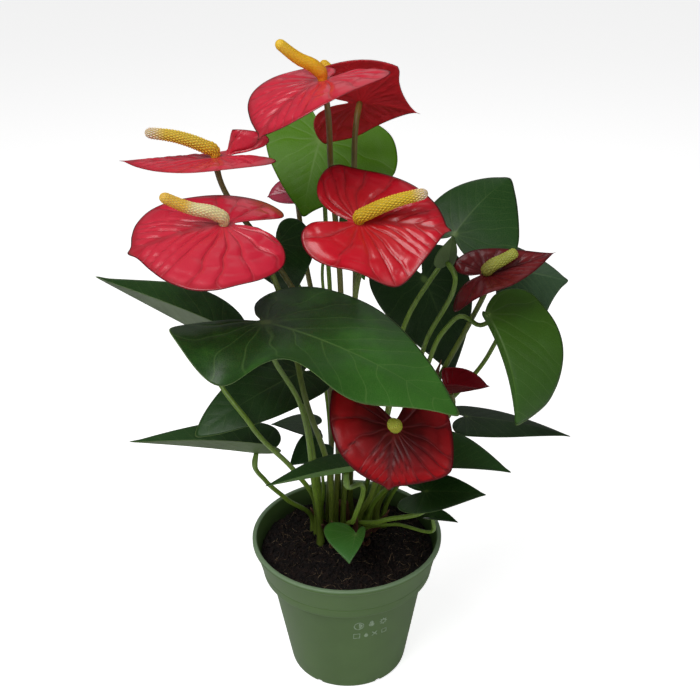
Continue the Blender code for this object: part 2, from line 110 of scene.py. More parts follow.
LEAVES = {
    "leaf_tall_back": Blade((-16, 55, 250), (-26, 30, 212), 80, 20, -10, 25, lift_left=10, lift_right=10,
                            shear=0.2, left=1.2, right=0.85),
    "leaf_upper_right": Blade((61, 20, 204), (96, 50, 227), 60, 8, 28, 30, fold=-10, left=0.75, right=1.15,
                              taper=-0.3),
    "leaf_young": Blade((56, 5, 192), (58, 0, 211), 16, 4, 0, 0, fold=20, cup=10),
    "leaf_back_right": Blade((92, 30, 178), (129, 22, 173), 96, 12, 40, 10, fold=-30, shear=-0.7, left=0.7),
    "leaf_drooping": Blade((78, -10, 167), (94, -38, 110), 72, 12, 40, 60, fold=-40, lift_left=10,
                           lift_right=10, right=0.12, lobe_right=0.3, taper=-0.6),
    "leaf_dark_back": Blade((46, 48, 164), (63, 22, 111), 76, 20, 0, 30, left=0.85),
    "leaf_front_large": Blade((-43, -62, 188), (53, -108, 158), 86, 34, 4, 25, lift_right=-8, wave=14,
                              wave_count=1.4, wave_start=-0.2, shear=0.3, taper=-0.2, left=1.08,
                              lobe_left=0.6, lobe_right=0.95),
    "leaf_upper_left": Blade((-72, -18, 154), (-137, -25, 199), 64, 18, 8, 0, fold=32, lift_left=10,
                             lift_right=10, shear=-0.3),
    "leaf_centre_back": Blade((-42, 28, 196), (-33, 14, 168), 48, 14, 0, 20),
    "leaf_left_front": Blade((-29, -8, 130), (-88, -40, 107), 58, 14, -20, 15, left=0.7, right=0.75,
                             taper=-0.35),
    "leaf_low_left": Blade((-57, -12, 78), (-132, -14, 88), 46, 14, 12, 5, fold=32, cup=5),
    "leaf_small_left": Blade((-24, 18, 79), (-50, 18, 80), 28, 6, 0, 20),
    "leaf_low_front": Blade((-3, -62, 96), (-47, -75, 96), 28, 10, 14, 5, fold=32),
    "leaf_small_soil": Blade((2, -27, 28), (-2, -45, 20), 26, 7, 0, 20, fold=8, left=0.45, right=1.5),
    "leaf_long_right": Blade((72, 18, 84), (137, 14, 71), 36, 9, 2, 15, fold=-10),
    "leaf_mid_right": Blade((48, -26, 76), (93, -34, 76), 56, 12, -5, 15, fold=25),
    "leaf_low_right": Blade((43, -45, 71), (76, -55, 75), 45, 14, 5, 10, fold=5, left=0.7),
}

# Small leaves between the stems that the design leaves out
INNER_LEAVES = {
    "leaf_behind_stems": Blade((-4, 25, 204), (9, 15, 178), 40, 10, 0, 20),
    "leaf_inner_left": Blade((-20, 5, 73), (-38, -5, 64), 24, 6, -20, 20),
    "leaf_inner_right": Blade((48, -30, 42), (63, -38, 44), 14, 4, 0, 10, fold=25),
}

FLOWERS = {
    "flower_top": Blade((-12, -20, 302), (-44, -46, 279), 74, 20, 4, 40, shear=-0.35, left=0.85, right=0.95),
    "flower_top_back": Blade((7, 22, 280), (40, 15, 275), 62, 26, -60, 20, shear=-0.65, taper=0.9,
                             left=1.05),
    "flower_left_back": Blade((-71, 0, 257), (-122, -4, 257), 54, 34, 3, -10, fold=-3, lift_left=-8,
                              lift_right=-8, ear_right=85, left=0.9, right=0.52, lobe_left=0.95,
                              lobe_right=0.85),
    "flower_left_front": Blade((-63, -50, 237), (-109, -68, 229), 90, 28, -12, 20, fold=-6, lift_right=-15,
                               lobe_left=0.85, lobe_right=1.35, taper=-0.25, right=0.8),
    "flower_centre": Blade((6, -40, 234), (52, -52, 233), 78, 26, 32, 10, lift_left=20, lift_right=50,
                           wave=7, wave_count=0.8, wave_start=0.25, shear=-0.55, left=0.9, right=0.92),
    "flower_right": Blade((77, -8, 191), (116, -4, 202), 42, 28, 30, -10, fold=15, cup=20, lift_right=-50,
                          taper=0.5, left=0.7, lobe_left=0.6),
    "flower_low_front": Blade((23, -78, 133), (19, -98, 108), 70, 22, -10, 20, shear=0.45, taper=-0.1,
                              left=0.9, lobe_right=0.4),
    "flower_bud": Blade((60, 5, 108), (83, 0, 115), 34, 4, 20, -10, fold=40, cup=50),
}

# A pale spathe that is still small, behind the left flowers
INNER_FLOWERS = {
    "flower_small_back": Blade((-31, 60, 217), (-49, 60, 214), 22, 6, -30, 15, fold=10),
}

# Where each flower spike ends, in millimetres above the soil's centre, and how far its middle bows up.
SPADICES = {
    "flower_top": ((-34, -28, 323), 1),
    "flower_top_back": ((-14, 34, 300), 1),
    "flower_left_back": ((-107, -3, 272), 4),
    "flower_left_front": ((-92, -60, 256), 1),
    "flower_centre": ((40, -48, 252), 4),
    "flower_right": ((93, -8, 204), 2),
    "flower_low_front": ((21, -99, 149), 1),
}

# Each stalk's foot, in steps of a triangular grid round the crown, and the points it passes on its way up.
STALKS = {
    "leaf_tall_back": ((-2, 3), [(-10, 46, 100), (-14, 62, 200)]),
    "leaf_upper_right": ((2, 1), [(20, 8, 80), (34, 4, 160)]),
    "leaf_young": ((3, 1), [(28, 18, 70), (45, 10, 140)]),
    "leaf_back_right": ((2, 3), [(48, 44, 60), (88, 44, 115), (98, 38, 155)]),
    "leaf_drooping": ((4, -1), [(28, 4, 70), (45, 0, 128), (54, 2, 150), (65, 5, 159), (75, 5, 153)]),
    "leaf_dark_back": ((3, 2), [(28, 46, 90)]),
    "leaf_front_large": ((-1, -4), [(-23, -20, 63), (-28, -46, 131)]),
    "leaf_upper_left": ((-3, -1), [(-34, -32, 79), (-55, -48, 118)]),
    "leaf_centre_back": ((-2, 1), [(-16, 34, 100), (-32, 34, 170)]),
    "leaf_left_front": ((-2, -2), [(-22, -13, 70)]),
    "leaf_low_left": ((-4, 0), [(-41, 2, 35), (-53, -8, 56)]),
    "leaf_small_left": ((-4, 2), [(-22, 26, 40)]),
    "leaf_low_front": ((2, -3), [(1, -25, 38), (5, -50, 80)]),
    "leaf_small_soil": ((2, -4), [(-4, -14, 20)]),
    "leaf_long_right": ((5, 1), [(44, 22, 50)]),
    "leaf_mid_right": ((4, -2), [(24, -4, 48)]),
    "leaf_low_right": ((3, -3), [(18, -24, 36)]),
    "leaf_behind_stems": ((-1, 2), [(-4, 30, 90)]),
    "leaf_inner_left": ((-3, 0), [(-18, 10, 40)]),
    "leaf_inner_right": ((4, -4), [(26, -14, 26)]),
    "flower_top": ((0, -2), [(-6, -2, 100), (-5, -1, 182), (-9, -4, 250)]),
    "flower_top_back": ((0, 2), [(2, 24, 100), (4, 20, 195)]),
    "flower_left_back": ((-2, 0), [(-12, 12, 100), (-15, 7, 135), (-28, 3, 170), (-44, 2, 200)]),
    "flower_left_front": ((0, -3), [(-14, -16, 70), (-26, -34, 130), (-36, -16, 175), (-46, -18, 205)]),
    "flower_centre": ((1, -2), [(0, -6, 100), (3, -18, 180)]),
    "flower_right": ((4, 0), [(32, 10, 60), (56, 12, 120), (71, 12, 152)]),
    "flower_low_front": ((3, -2), [(12, -16, 50), (19, -50, 105)]),
    "flower_bud": ((4, 1), [(36, 16, 55)]),
    "flower_small_back": ((-1, 4), [(-14, 52, 100), (-28, 62, 180)]),
}

# Dry papery sheaths that stand round the crown and up the right-hand stems
SHEATHS = [
    Blade((-14, 8, 1), (-19, -4, 20), 11, 2, 20, -20, fold=25, cup=60),
    Blade((-9, 3, 1), (-13, -9, 26), 10, 2, -10, -15, fold=30, cup=70),
    Blade((-4, 1, 1), (-2, -12, 17), 11, 2, 0, -30, fold=20, cup=60),
    Blade((2, 4, 1), (3, -8, 28), 9, 2, 10, -20, fold=30, cup=70),
    Blade((9, 6, 1), (13, -5, 19), 11, 2, 20, -25, fold=20, cup=60),
    Blade((15, 13, 1), (24, 6, 24), 10, 2, 10, -20, fold=25, cup=60),
    Blade((-18, 17, 1), (-27, 12, 22), 10, 2, 10, -20, fold=25, cup=60),
    Blade((-10, 1, 1), (-14, -13, 8), 9, 2, 0, -35, fold=15, cup=50),
    Blade((8, 1, 1), (9, -12, 9), 9, 2, 0, -35, fold=15, cup=50),
    Blade((50, 6, 100), (54, 3, 132), 9, 3, 0, 5, fold=35, cup=70),
]

# How a leaf looks: its colour at the stalk and at the tip, its underside, how plainly its veins show
# and how glossy it is.
LeafLook = namedtuple("LeafLook", "base tip under veins gloss", defaults=(0.35, 1.0))
DARK = (0.009, 0.034, 0.006)
DEEP = (0.014, 0.056, 0.008)
MID = (0.036, 0.13, 0.010)
OLIVE = (0.10, 0.16, 0.05)
GREY_GREEN = (0.13, 0.18, 0.09)
LEAF_LOOKS = {
    "leaf_tall_back": LeafLook((0.07, 0.19, 0.002), (0.055, 0.155, 0.002), OLIVE, 0.7, 0.35),
    "leaf_upper_right": LeafLook(DEEP, DEEP, OLIVE),
    "leaf_young": LeafLook(MID, MID, OLIVE),
    # Painted sheen: this leaf's greyish green upper side stands in for sky light glancing off it.
    "leaf_back_right": LeafLook((0.03, 0.065, 0.03), (0.035, 0.08, 0.035), GREY_GREEN),
    "leaf_drooping": LeafLook((0.045, 0.12, 0.004), (0.03, 0.10, 0.006), OLIVE, 0.5),
    # Painted shade: this leaf lies in shade behind the right-hand stems, so it is given the darkest green and
    # faint veins.
    "leaf_dark_back": LeafLook(DARK, DARK, DEEP, 0.2),
    "leaf_front_large": LeafLook(DARK, (0.030, 0.125, 0.010), OLIVE, 0.45),
    "leaf_upper_left": LeafLook(DARK, DEEP, GREY_GREEN),
    "leaf_centre_back": LeafLook(DARK, DEEP, OLIVE),
    "leaf_left_front": LeafLook(DARK, DEEP, OLIVE),
    "leaf_low_left": LeafLook(DARK, DEEP, OLIVE),
    "leaf_small_left": LeafLook(DEEP, DEEP, OLIVE),
    "leaf_low_front": LeafLook(DEEP, DEEP, (0.11, 0.22, 0.05)),
    "leaf_small_soil": LeafLook(MID, (0.045, 0.17, 0.03), OLIVE, 0.6),
    "leaf_long_right": LeafLook(DARK, DARK, OLIVE),
    "leaf_mid_right": LeafLook(DEEP, DEEP, (0.09, 0.19, 0.045)),
    "leaf_low_right": LeafLook(DEEP, DARK, OLIVE),
    "leaf_behind_stems": LeafLook(DEEP, MID, OLIVE),
    "leaf_inner_left": LeafLook((0.03, 0.07, 0.03), DEEP, GREY_GREEN),
    "leaf_inner_right": LeafLook(DEEP, DEEP, (0.3, 0.32, 0.2)),
}

# How a spathe looks: its colour near the stalk and near the margin, its underside, its puffed relief and
# how glossy it is.
SpatheLook = namedtuple("SpatheLook", "heart margin under puff gloss", defaults=(1.0, 1.0))
RED = (0.58, 0.003, 0.018)
PINK_RED = (0.62, 0.018, 0.045)
DARK_RED = (0.30, 0.004, 0.012)
MAROON = (0.10, 0.006, 0.008)
SPATHE_LOOKS = {
    "flower_top": SpatheLook(PINK_RED, PINK_RED, DARK_RED),
    "flower_top_back": SpatheLook(RED, RED, (0.55, 0.003, 0.012), 0.7),
    "flower_left_back": SpatheLook(PINK_RED, PINK_RED, (0.20, 0.012, 0.008), 0.8),
    "flower_left_front": SpatheLook(PINK_RED, PINK_RED, DARK_RED),
    "flower_centre": SpatheLook((0.5, 0.006, 0.012), RED, DARK_RED, 1.2),
    "flower_right": SpatheLook(MAROON, (0.15, 0.008, 0.010), (0.10, 0.006, 0.008), 0.6, 0.4),
    "flower_low_front": SpatheLook(MAROON, (0.46, 0.006, 0.010), DARK_RED, 0.5, 0.35),
    "flower_bud": SpatheLook(DARK_RED, (0.22, 0.006, 0.012), (0.14, 0.006, 0.008), 0.2, 0.4),
    "flower_small_back": SpatheLook((0.42, 0.03, 0.07), (0.42, 0.03, 0.07), (0.45, 0.06, 0.10), 0.3),
}

# How a flower spike looks: its colour at the foot, in the middle and at the tip, where the middle colour
# starts and ends along it, and how far its florets stand out and how strongly they show painted shade and
# highlight.
SpikeLook = namedtuple("SpikeLook", "foot middle tip start end florets")
YELLOW = (0.85, 0.50, 0.01)
CREAM = (0.88, 0.76, 0.38)
BLUSH = (0.90, 0.74, 0.66)
SPIKE_LOOKS = {
    "flower_top": SpikeLook((0.85, 0.33, 0.01), (0.88, 0.48, 0.01), (0.88, 0.56, 0.03), 0.2, 0.8, 0.15),
    "flower_top_back": SpikeLook(YELLOW, YELLOW, YELLOW, 0.2, 0.8, 0.4),
    "flower_left_back": SpikeLook(YELLOW, (0.88, 0.60, 0.05), BLUSH, 0.25, 0.85, 1.0),
    "flower_left_front": SpikeLook(CREAM, CREAM, (0.90, 0.52, 0.02), 0.5, 0.62, 0.5),
    "flower_centre": SpikeLook((0.78, 0.50, 0.01), (0.85, 0.58, 0.015), BLUSH, 0.4, 0.9, 1.0),
    "flower_right": SpikeLook((0.28, 0.25, 0.04), (0.40, 0.42, 0.05), (0.45, 0.48, 0.06), 0.3, 0.8, 0.7),
    "flower_low_front": SpikeLook((0.45, 0.50, 0.04), (0.55, 0.58, 0.04), (0.55, 0.58, 0.04), 0.3, 0.8, 0.7),
}

# Stalk colours at the foot, in the middle and under the blade
GREEN_STALK = ((0.12, 0.18, 0.02), (0.16, 0.27, 0.025), (0.13, 0.23, 0.03))
OLIVE_STALK = ((0.12, 0.17, 0.02), (0.13, 0.19, 0.02), (0.14, 0.16, 0.03))
BROWN_STALK = ((0.12, 0.17, 0.02), (0.12, 0.12, 0.02), (0.17, 0.11, 0.02))
STALK_LOOKS = {
    "flower_top": BROWN_STALK, "flower_top_back": BROWN_STALK, "flower_left_back": BROWN_STALK,
    "flower_left_front": OLIVE_STALK, "flower_centre": OLIVE_STALK, "flower_right": OLIVE_STALK,
    "flower_low_front": OLIVE_STALK, "flower_bud": OLIVE_STALK, "flower_small_back": BROWN_STALK,
}


# Settings that a user would change


class PlantSettings(bpy.types.PropertyGroup):
    """Sizes of the plant's surfaces."""

    blade_thickness: FloatProperty(
        name="Blade thickness", description="Thickness of leaves and spathes", default=0.55 * MM,
        unit="LENGTH", min=0.1 * MM,
    )
    petiole_radius: FloatProperty(
        name="Leaf stalk radius", description="Radius of the leaves' stalks", default=1.5 * MM,
        unit="LENGTH",
    )
    peduncle_radius: FloatProperty(
        name="Flower stalk radius", description="Radius of the flowers' stalks", default=1.7 * MM,
        unit="LENGTH",
    )
    spadix_radius: FloatProperty(
        name="Spike radius", description="Radius of the flower spikes", default=3.4 * MM, unit="LENGTH",
    )
    spathe_puff: FloatProperty(
        name="Spathe puff", description="How far a spathe swells between its veins", default=1.1 * MM,
        unit="LENGTH",
    )
    leaf_puff: FloatProperty(
        name="Leaf puff", description="How far a leaf swells between its veins", default=0.22 * MM,
        unit="LENGTH",
    )
    mesh_step: FloatProperty(
        name="Mesh step", description="Distance between points on a blade", default=1.4 * MM, unit="LENGTH",
    )


class PotSettings(bpy.types.PropertyGroup):
    """The pot, the peat and their colours."""

    pot_colour: FloatVectorProperty(
        name="Pot colour", description="Colour of the moulded pot", default=(0.075, 0.145, 0.036),
        subtype="COLOR", size=3, min=0, max=1,
    )
    print_colour: FloatVectorProperty(
        name="Symbol colour", description="Colour of the care symbols", default=(0.30, 0.40, 0.27),
        subtype="COLOR", size=3, min=0, max=1,
    )
    peat_colour: FloatVectorProperty(
        name="Peat colour", description="Colour of the moist peat", default=(0.0045, 0.003, 0.003),
        subtype="COLOR", size=3, min=0, max=1,
    )
    crumb_count: IntProperty(name="Crumbs", description="Number of peat crumbs", default=9000, min=0)
    fibre_count: IntProperty(name="Fibres", description="Number of peat fibres", default=260, min=0)


class StageSettings(bpy.types.PropertyGroup):
    """Light and camera."""

    key_power: FloatProperty(name="Key light", description="Power of the large soft light", default=12.0)
    fill_power: FloatProperty(name="Fill light", description="Power of the front light", default=2.5)
    sky_strength: FloatProperty(name="Sky", description="Strength of the pale surroundings", default=0.14)


# Shader graphs written as expressions


class Wire:
    """One number in a shader graph. Each operator on it adds a Math node."""

    def __init__(self, graph, socket):
        self.graph = graph
        self.socket = socket

    def math(self, operation, *values):
        """A Math node on these values, in this order."""
        return self.graph.math(operation, *values)

    def __add__(self, other):
        return self.math("ADD", self, other)

    __radd__ = __add__

    def __mul__(self, other):
        return self.math("MULTIPLY", self, other)

    __rmul__ = __mul__

    def __sub__(self, other):
        return self.math("SUBTRACT", self, other)

    def __rsub__(self, other):
        return self.math("SUBTRACT", other, self)

    def __abs__(self):
        return self.math("ABSOLUTE", self)

    def least(self, other):
        """The smaller of this and other."""
        return self.math("MINIMUM", self, other)

    def most(self, other):
        """The larger of this and other."""
        return self.math("MAXIMUM", self, other)


class Graph:
    """The node graph of one new material."""

    def __init__(self, name):
        self.material = bpy.data.materials.new(name)
        self.material.use_nodes = True
        self.tree = self.material.node_tree
        self.shader = self.tree.nodes["Principled BSDF"]

    def node(self, kind, settings=None, inputs=None):
        """A node of a type, with its settings made first and then its sockets' values or links."""
        node = self.tree.nodes.new(kind)
        for key, value in (settings or {}).items():
            setattr(node, key, value)
        for key, value in (inputs or {}).items():
            self.feed(node.inputs[key], value)
        return node

    def feed(self, socket, value):
        """Link a Wire or a socket into a socket, or set its value."""
        if isinstance(value, Wire):
            value = value.socket
        if isinstance(value, bpy.types.NodeSocket):
            self.tree.links.new(value, socket)
        elif socket.type == "RGBA":
            socket.default_value = (*value, 1)
        else:
            socket.default_value = value

    def math(self, operation, *values):
        """A Math node's result."""
        node = self.node("ShaderNodeMath", {"operation": operation}, dict(enumerate(values)))
        return Wire(self, node.outputs[0])

    def step(self, value, start, end):
        """0 below start, 1 above end, and smooth between."""
        node = self.node(
            "ShaderNodeMapRange", {"interpolation_type": "SMOOTHSTEP"},
            {"Value": value, "From Min": start, "From Max": end},
        )
        return Wire(self, node.outputs["Result"])

    def attribute(self, name):
        """One number that is stored on the piece's points."""
        return Wire(self, self.node("ShaderNodeAttribute", {"attribute_name": name}).outputs["Fac"])

    def place(self):
        """The Object coordinates."""
        return self.node("ShaderNodeTexCoord").outputs["Object"]

    def noise(self, scale, detail=3.0, roughness=0.5, distortion=0.0, at=None):
        """Smooth noise, about 0 to 1, from Object coordinates unless others are given."""
        node = self.node(
            "ShaderNodeTexNoise", None,
            {"Vector": at or self.place(), "Scale": scale, "Detail": detail, "Roughness": roughness,
             "Distortion": distortion},
        )
        return Wire(self, node.outputs["Fac"])

    def cells(self, scale, feature="DISTANCE_TO_EDGE", at=None):
        """Distance to the edges or the middles of Voronoi cells."""
        node = self.node(
            "ShaderNodeTexVoronoi", {"feature": feature}, {"Vector": at or self.place(), "Scale": scale},
        )
        return Wire(self, node.outputs["Distance"])

    def mix(self, share, first, second):
        """first where share is 0 and second where it is 1. Both are colours."""
        node = self.node("ShaderNodeMix", {"data_type": "RGBA"}, {"Factor": share})
        for key, colour in (("A_Color", first), ("B_Color", second)):
            socket = next(item for item in node.inputs if item.identifier == key)
            self.feed(socket, colour)
        return next(item for item in node.outputs if item.identifier == "Result_Color")

    def bump(self, height, strength, distance):
        """A bumped normal from a height between 0 and 1."""
        node = self.node(
            "ShaderNodeBump", None, {"Height": height, "Strength": strength, "Distance": distance},
        )
        return node.outputs["Normal"]

    def finish(self, **sockets):
        """Feed the shader's sockets, whose names have _ for a space, and give the material."""
        for key, value in sockets.items():
            self.feed(self.shader.inputs[key.replace("_", " ")], value)
        return self.material


# Surfaces on grids of points


def link_mesh(name, points, corners, sizes, material, facts=None, rides=True):
    """A smooth mesh object from its points, its faces' corners in a row, and each face's size.

    facts are numbers for each point, by the name of their attribute. rides puts it on the plant's body.
    """
    mesh = bpy.data.meshes.new(name)
    mesh.vertices.add(len(points))
    mesh.vertices.foreach_set("co", points.astype(np.float32).ravel())
    mesh.loops.add(len(corners))
    mesh.loops.foreach_set("vertex_index", corners.astype(np.int32))
    mesh.polygons.add(len(sizes))
    mesh.polygons.foreach_set("loop_start", (np.cumsum(sizes) - sizes).astype(np.int32))
    mesh.update(calc_edges=True)
    for key, values in (facts or {}).items():
        layer = mesh.attributes.new(key, "FLOAT", "POINT")
        layer.data.foreach_set("value", values.astype(np.float32).ravel())
    mesh.shade_smooth()
    mesh.materials.append(material)
    item = bpy.data.objects.new(name, mesh)
    bpy.context.scene.collection.objects.link(item)
    if rides:
        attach(item, "root")
    return item


def grid_faces(rows, columns, loop_rows=False):
    """Corners of the quads between neighbours on a grid whose columns close round."""
    row = np.arange(rows if loop_rows else rows - 1)[:, None]
    column = np.arange(columns)[None, :]
    below, beside = (row + 1) % rows, (column + 1) % columns
    quads = np.stack(np.broadcast_arrays(
        row * columns + column, row * columns + beside, below * columns + beside, below * columns + column,
    ), axis=-1)
    return quads.reshape(-1, 4)


def add_closed_grid(name, grid, material, facts=None, rides=True):
    """A closed surface from a grid whose columns close round and whose first and last rows are poles."""
    rows, columns = grid.shape[:2]
    last = rows - 1
    inside = grid[1:last].reshape(-1, 3)
    points = np.concatenate([grid[0, :1], inside, grid[last, :1]])
    quads = grid_faces(rows - 2, columns) + 1
    here = np.arange(columns)
    beside = (here + 1) % columns
    end = len(points) - 1
    first_fan = np.stack([np.zeros(columns, int), 1 + beside, 1 + here], axis=1)
    final = end - columns
    last_fan = np.stack([final + here, final + beside, np.full(columns, end)], axis=1)
    corners = np.concatenate([quads.ravel(), first_fan.ravel(), last_fan.ravel()])
    sizes = np.concatenate([np.full(len(quads), 4), np.full(2 * columns, 3)])
    flat_facts = {
        key: np.concatenate([values[0, :1], values[1:last].ravel(), values[last, :1]])
        for key, values in (facts or {}).items()
    }
    return link_mesh(name, points, corners, sizes, material, flat_facts, rides)


def smooth_step(start, end, value):
    """0 below start, 1 above end, and smooth between."""
    share = np.clip((value - start) / (end - start), 0, 1)
    return share * share * (3 - 2 * share)


# Slowest and fastest of the waves in a ripple, as shares of the rate that its wavelength gives
WAVE_RATES = (0.6, 1.6)


def ripples(points, wavelength, seed, count=9):
    """Smooth random height, about -1 to 1: a sum of count sine waves in directions drawn from the seed."""
    random = np.random.default_rng(seed)
    directions = random.normal(size=(count, points.shape[-1]))
    directions /= np.linalg.norm(directions, axis=1, keepdims=True)
    rates = TAU / wavelength * random.uniform(*WAVE_RATES, count)
    phases = random.uniform(0, TAU, count)
    waves = np.sin((points @ directions.T) * rates + phases)
    return waves.sum(axis=-1) / math.sqrt(2 * count)


def unit(vectors):
    """The vectors, each scaled to length 1."""
    return vectors / np.maximum(np.linalg.norm(vectors, axis=-1, keepdims=True), TINY)


# Blades: leaves, spathes and sheaths


def planted(point):
    """A point given in millimetres above the soil's centre, in metres in the plant's frame."""
    return np.array(point, float) * MM + (PLANT_SHIFT, 0, SOIL_TOP)


def blade_frame(blade):
    """The blade's length and its axes at the stalk: along the midrib, to the left and up."""
    chord = planted(blade.tip) - planted(blade.base)
    span = np.linalg.norm(chord)
    half_arch = math.radians(blade.arch) / 2
    length = span * (half_arch / math.sin(half_arch) if blade.arch else 1)
    heading = math.atan2(chord[1], chord[0])
    climb = math.asin(chord[2] / span) + half_arch
    flat = math.cos(climb)
    along = np.array([math.cos(heading) * flat, math.sin(heading) * flat, math.sin(climb)])
    left = np.array([-math.sin(heading), math.cos(heading), 0])
    return length, along, left, np.cross(along, left)


def blade_up(blade):
    """The direction out of the blade's upper side where the stalk meets it."""
    _, _, left, up = blade_frame(blade)
    roll = math.radians(blade.roll)
    return up * math.cos(roll) - left * math.sin(roll)


def half_outline(blade, outline, side):
    """One half of the flat outline, from the notch to the tip. side is 1 on the left and -1 on the right."""
    length = blade_frame(blade)[0]
    share = np.array(outline)
    lobe = blade.lobe * (blade.lobe_left if side > 0 else blade.lobe_right) * MM
    width = blade.width * (blade.left if side > 0 else blade.right) * MM
    forward = share[:, 0]
    x = np.where(forward > 0, forward * length, forward * lobe)
    y = side * share[:, 1] * width / 2 * (1 - np.clip(forward, 0, TAPER_END)) ** blade.taper
    return np.stack([x, y], axis=1)


def round_outline(blade, outline, count):
    """count points on the smooth closed curve through both halves (a Catmull-Rom spline)."""
    left = half_outline(blade, outline, 1)
    right = half_outline(blade, outline, -1)
    knots = np.concatenate([left, right[-2:0:-1]])
    places = np.linspace(0, len(knots), count, endpoint=False)
    index = places.astype(int)
    t = (places - index)[:, None]
    before, start, end, after = (knots[(index + step) % len(knots)] for step in (-1, 0, 1, 2))
    return 0.5 * (
        2 * start + (end - before) * t + (2 * before - 5 * start + 4 * end - after) * t ** 2
        + (3 * start - before - 3 * end + after) * t ** 3
    )


def bend_blade(blade, x, y):
    """Bend flat blade points into place.

    The midrib is an arc of the blade's arch, and its lobes an arc of their lift. Across it each half
    rises at the fold, curls by the cup, and is turned about the midrib by the roll.
    """
    length, along, left, up = blade_frame(blade)
    half = blade.width * MM / 2
    x = x + blade.shear * y * np.clip(1 - np.abs(x) / length, 0, 1)
    share = np.tanh(y / (LIFT_BLEND * half)) / 2 + 0.5
    lift = np.radians(blade.lift_left) * share + np.radians(blade.lift_right) * (1 - share)
    rate = np.where(x > 0, -math.radians(blade.arch) / length, lift / (blade.lobe * MM))
    rate = np.where(np.abs(rate) < NEARLY_FLAT, NEARLY_FLAT, rate)
    turn = rate * x
    ear = smooth_step(EAR_START, EAR_START + EAR_RISE, -x / length)
    fold = np.radians(blade.fold + ear * np.where(y < 0, blade.ear_right, 0))
    curl = max(math.radians(blade.cup), NEARLY_FLAT) / half
    out = np.abs(y)
    across = np.sign(y) * (np.sin(fold + curl * out) - np.sin(fold)) / curl
    height = (np.cos(fold) - np.cos(fold + curl * out)) / curl
    ripple = np.sin(TAU * (x / length * blade.wave_count + blade.wave_start))
    height = height + np.where(y < 0, blade.wave * MM, 0) * (out / half) ** 2 * ripple
    roll = math.radians(blade.roll)
    sideways = across * math.cos(roll) - height * math.sin(roll)
    height = across * math.sin(roll) + height * math.cos(roll)
    forward = np.sin(turn) / rate - height * np.sin(turn)
    rise = (1 - np.cos(turn)) / rate + height * np.cos(turn)
    parts = forward[..., None] * along + sideways[..., None] * left + rise[..., None] * up
    return planted(blade.base) + parts


SLOPE_STEP = 0.2 * MM


def blade_normals(blade, x, y):
    """The bent blade's upward normals: the cross product of its slopes along x and along y."""
    forward = bend_blade(blade, x + SLOPE_STEP, y) - bend_blade(blade, x - SLOPE_STEP, y)
    aside = bend_blade(blade, x, y + SLOPE_STEP) - bend_blade(blade, x, y - SLOPE_STEP)
    return unit(np.cross(forward, aside))


# The pattern of side veins: how many leave the midrib, the angle at which they do, how strongly they bend
# forward, and the angle between those that fan out behind the stalk.
VeinPlan = namedtuple("VeinPlan", "ahead angle bend fan")
LEAF_VEINS = VeinPlan(7, 50, 0.45, 26)
SPATHE_VEINS = VeinPlan(5, 38, 0.75, 22)

# How far a side vein strays from its rule, as a share of the veins' spacing, and the length of its waves
VEIN_WOBBLE = 0.16
WOBBLE_LENGTH = 24 * MM
WOBBLE_SEED = 5

# The quilting. A crease's width is, on a side vein and on a cross vein, the squared sine at which it has
# mostly gone, and on the midrib a share of half the blade's width. Cross veins are spaced by a share of
# that half, and shift by a share of their spacing from one swelling to the next and on the left half.
SIDE_CREASE = 0.12
MIDRIB_CREASE = 0.07
CROSS_CREASE = 0.15
CROSS_DEPTH = 0.4
CROSS_SPACING = 0.3
CROSS_SHIFT = 0.37
LEFT_SHIFT = 0.2
WRINKLE = 0.14
WRINKLE_LENGTH = 11 * MM
WRINKLE_SEED = 11

# The stretches over which cross veins come in, the quilting comes in, and it fades out again. The first and
# the last are shares of the way to the margin, and the middle one is shares of half the blade's width.
CROSS_ZONE = (0.35, 0.7)
HUB_ZONE = (0, 0.55)
MARGIN_ZONE = (0.8, 1.0)


def vein_count(blade, plan, x, y):
    """A running count that is whole on each side vein.

    A vein leaves the midrib at an angle and bends forward: x = start + |y| / tan(angle) + bend y² / half.
    Ahead of the one that leaves at the stalk, the count is its start over the veins' spacing. Behind it the
    veins fan out from the stalk, and the count falls by one for each step of the fan.
    """
    length = blade_frame(blade)[0]
    half = blade.width * MM / 2
    out = np.abs(y) + TINY
    border = out / math.tan(math.radians(plan.angle)) + plan.bend * out ** 2 / half
    ahead = (x - border) / (length / plan.ahead)
    behind = (np.arctan2(out, x) - np.arctan2(out, border)) / math.radians(plan.fan)
    flat = np.stack([x, y], axis=-1)
    wobble = VEIN_WOBBLE * ripples(flat, WOBBLE_LENGTH, WOBBLE_SEED)
    wobble *= smooth_step(0, 0.5, np.hypot(x, y) / half)
    return np.where(ahead > 0, ahead, -behind) + wobble


def puffed(blade, plan, x, y, share, amount):
    """Height of a blade's quilting.

    It swells between side veins and falls into a crease on each of them, on the midrib, and on short
    cross veins whose places change from one swelling to the next. It fades out at the stalk and the margin.
    """
    half = blade.width * MM / 2
    count = vein_count(blade, plan, x, y)
    reach = np.hypot(x, y)
    between = 1 - np.exp(-(np.sin(math.pi * count) ** 2) / SIDE_CREASE)
    middle = 1 - np.exp(-((y / (MIDRIB_CREASE * half)) ** 2))
    shift = np.floor(count) * CROSS_SHIFT + np.where(y > 0, LEFT_SHIFT, 0)
    crossings = np.abs(np.sin(math.pi * (reach / (CROSS_SPACING * half) + shift)))
    outer = smooth_step(*CROSS_ZONE, share)
    cells = 1 - CROSS_DEPTH * outer * np.exp(-(crossings ** 2) / CROSS_CREASE)
    room = smooth_step(*HUB_ZONE, reach / half) * (1 - smooth_step(*MARGIN_ZONE, share))
    wrinkle = WRINKLE * ripples(np.stack([x, y], axis=-1), WRINKLE_LENGTH, WRINKLE_SEED) * room
    return amount * (between * middle * cells * room + wrinkle)


# Points round a rough outline, the fewest and most spokes and rings of a blade, and how much closer its
# rings are than its spokes
ROUGH_OUTLINE = 64
SPOKE_LIMITS = (72, 208)
RING_LIMITS = (20, 44)
RING_DENSITY = 1.15

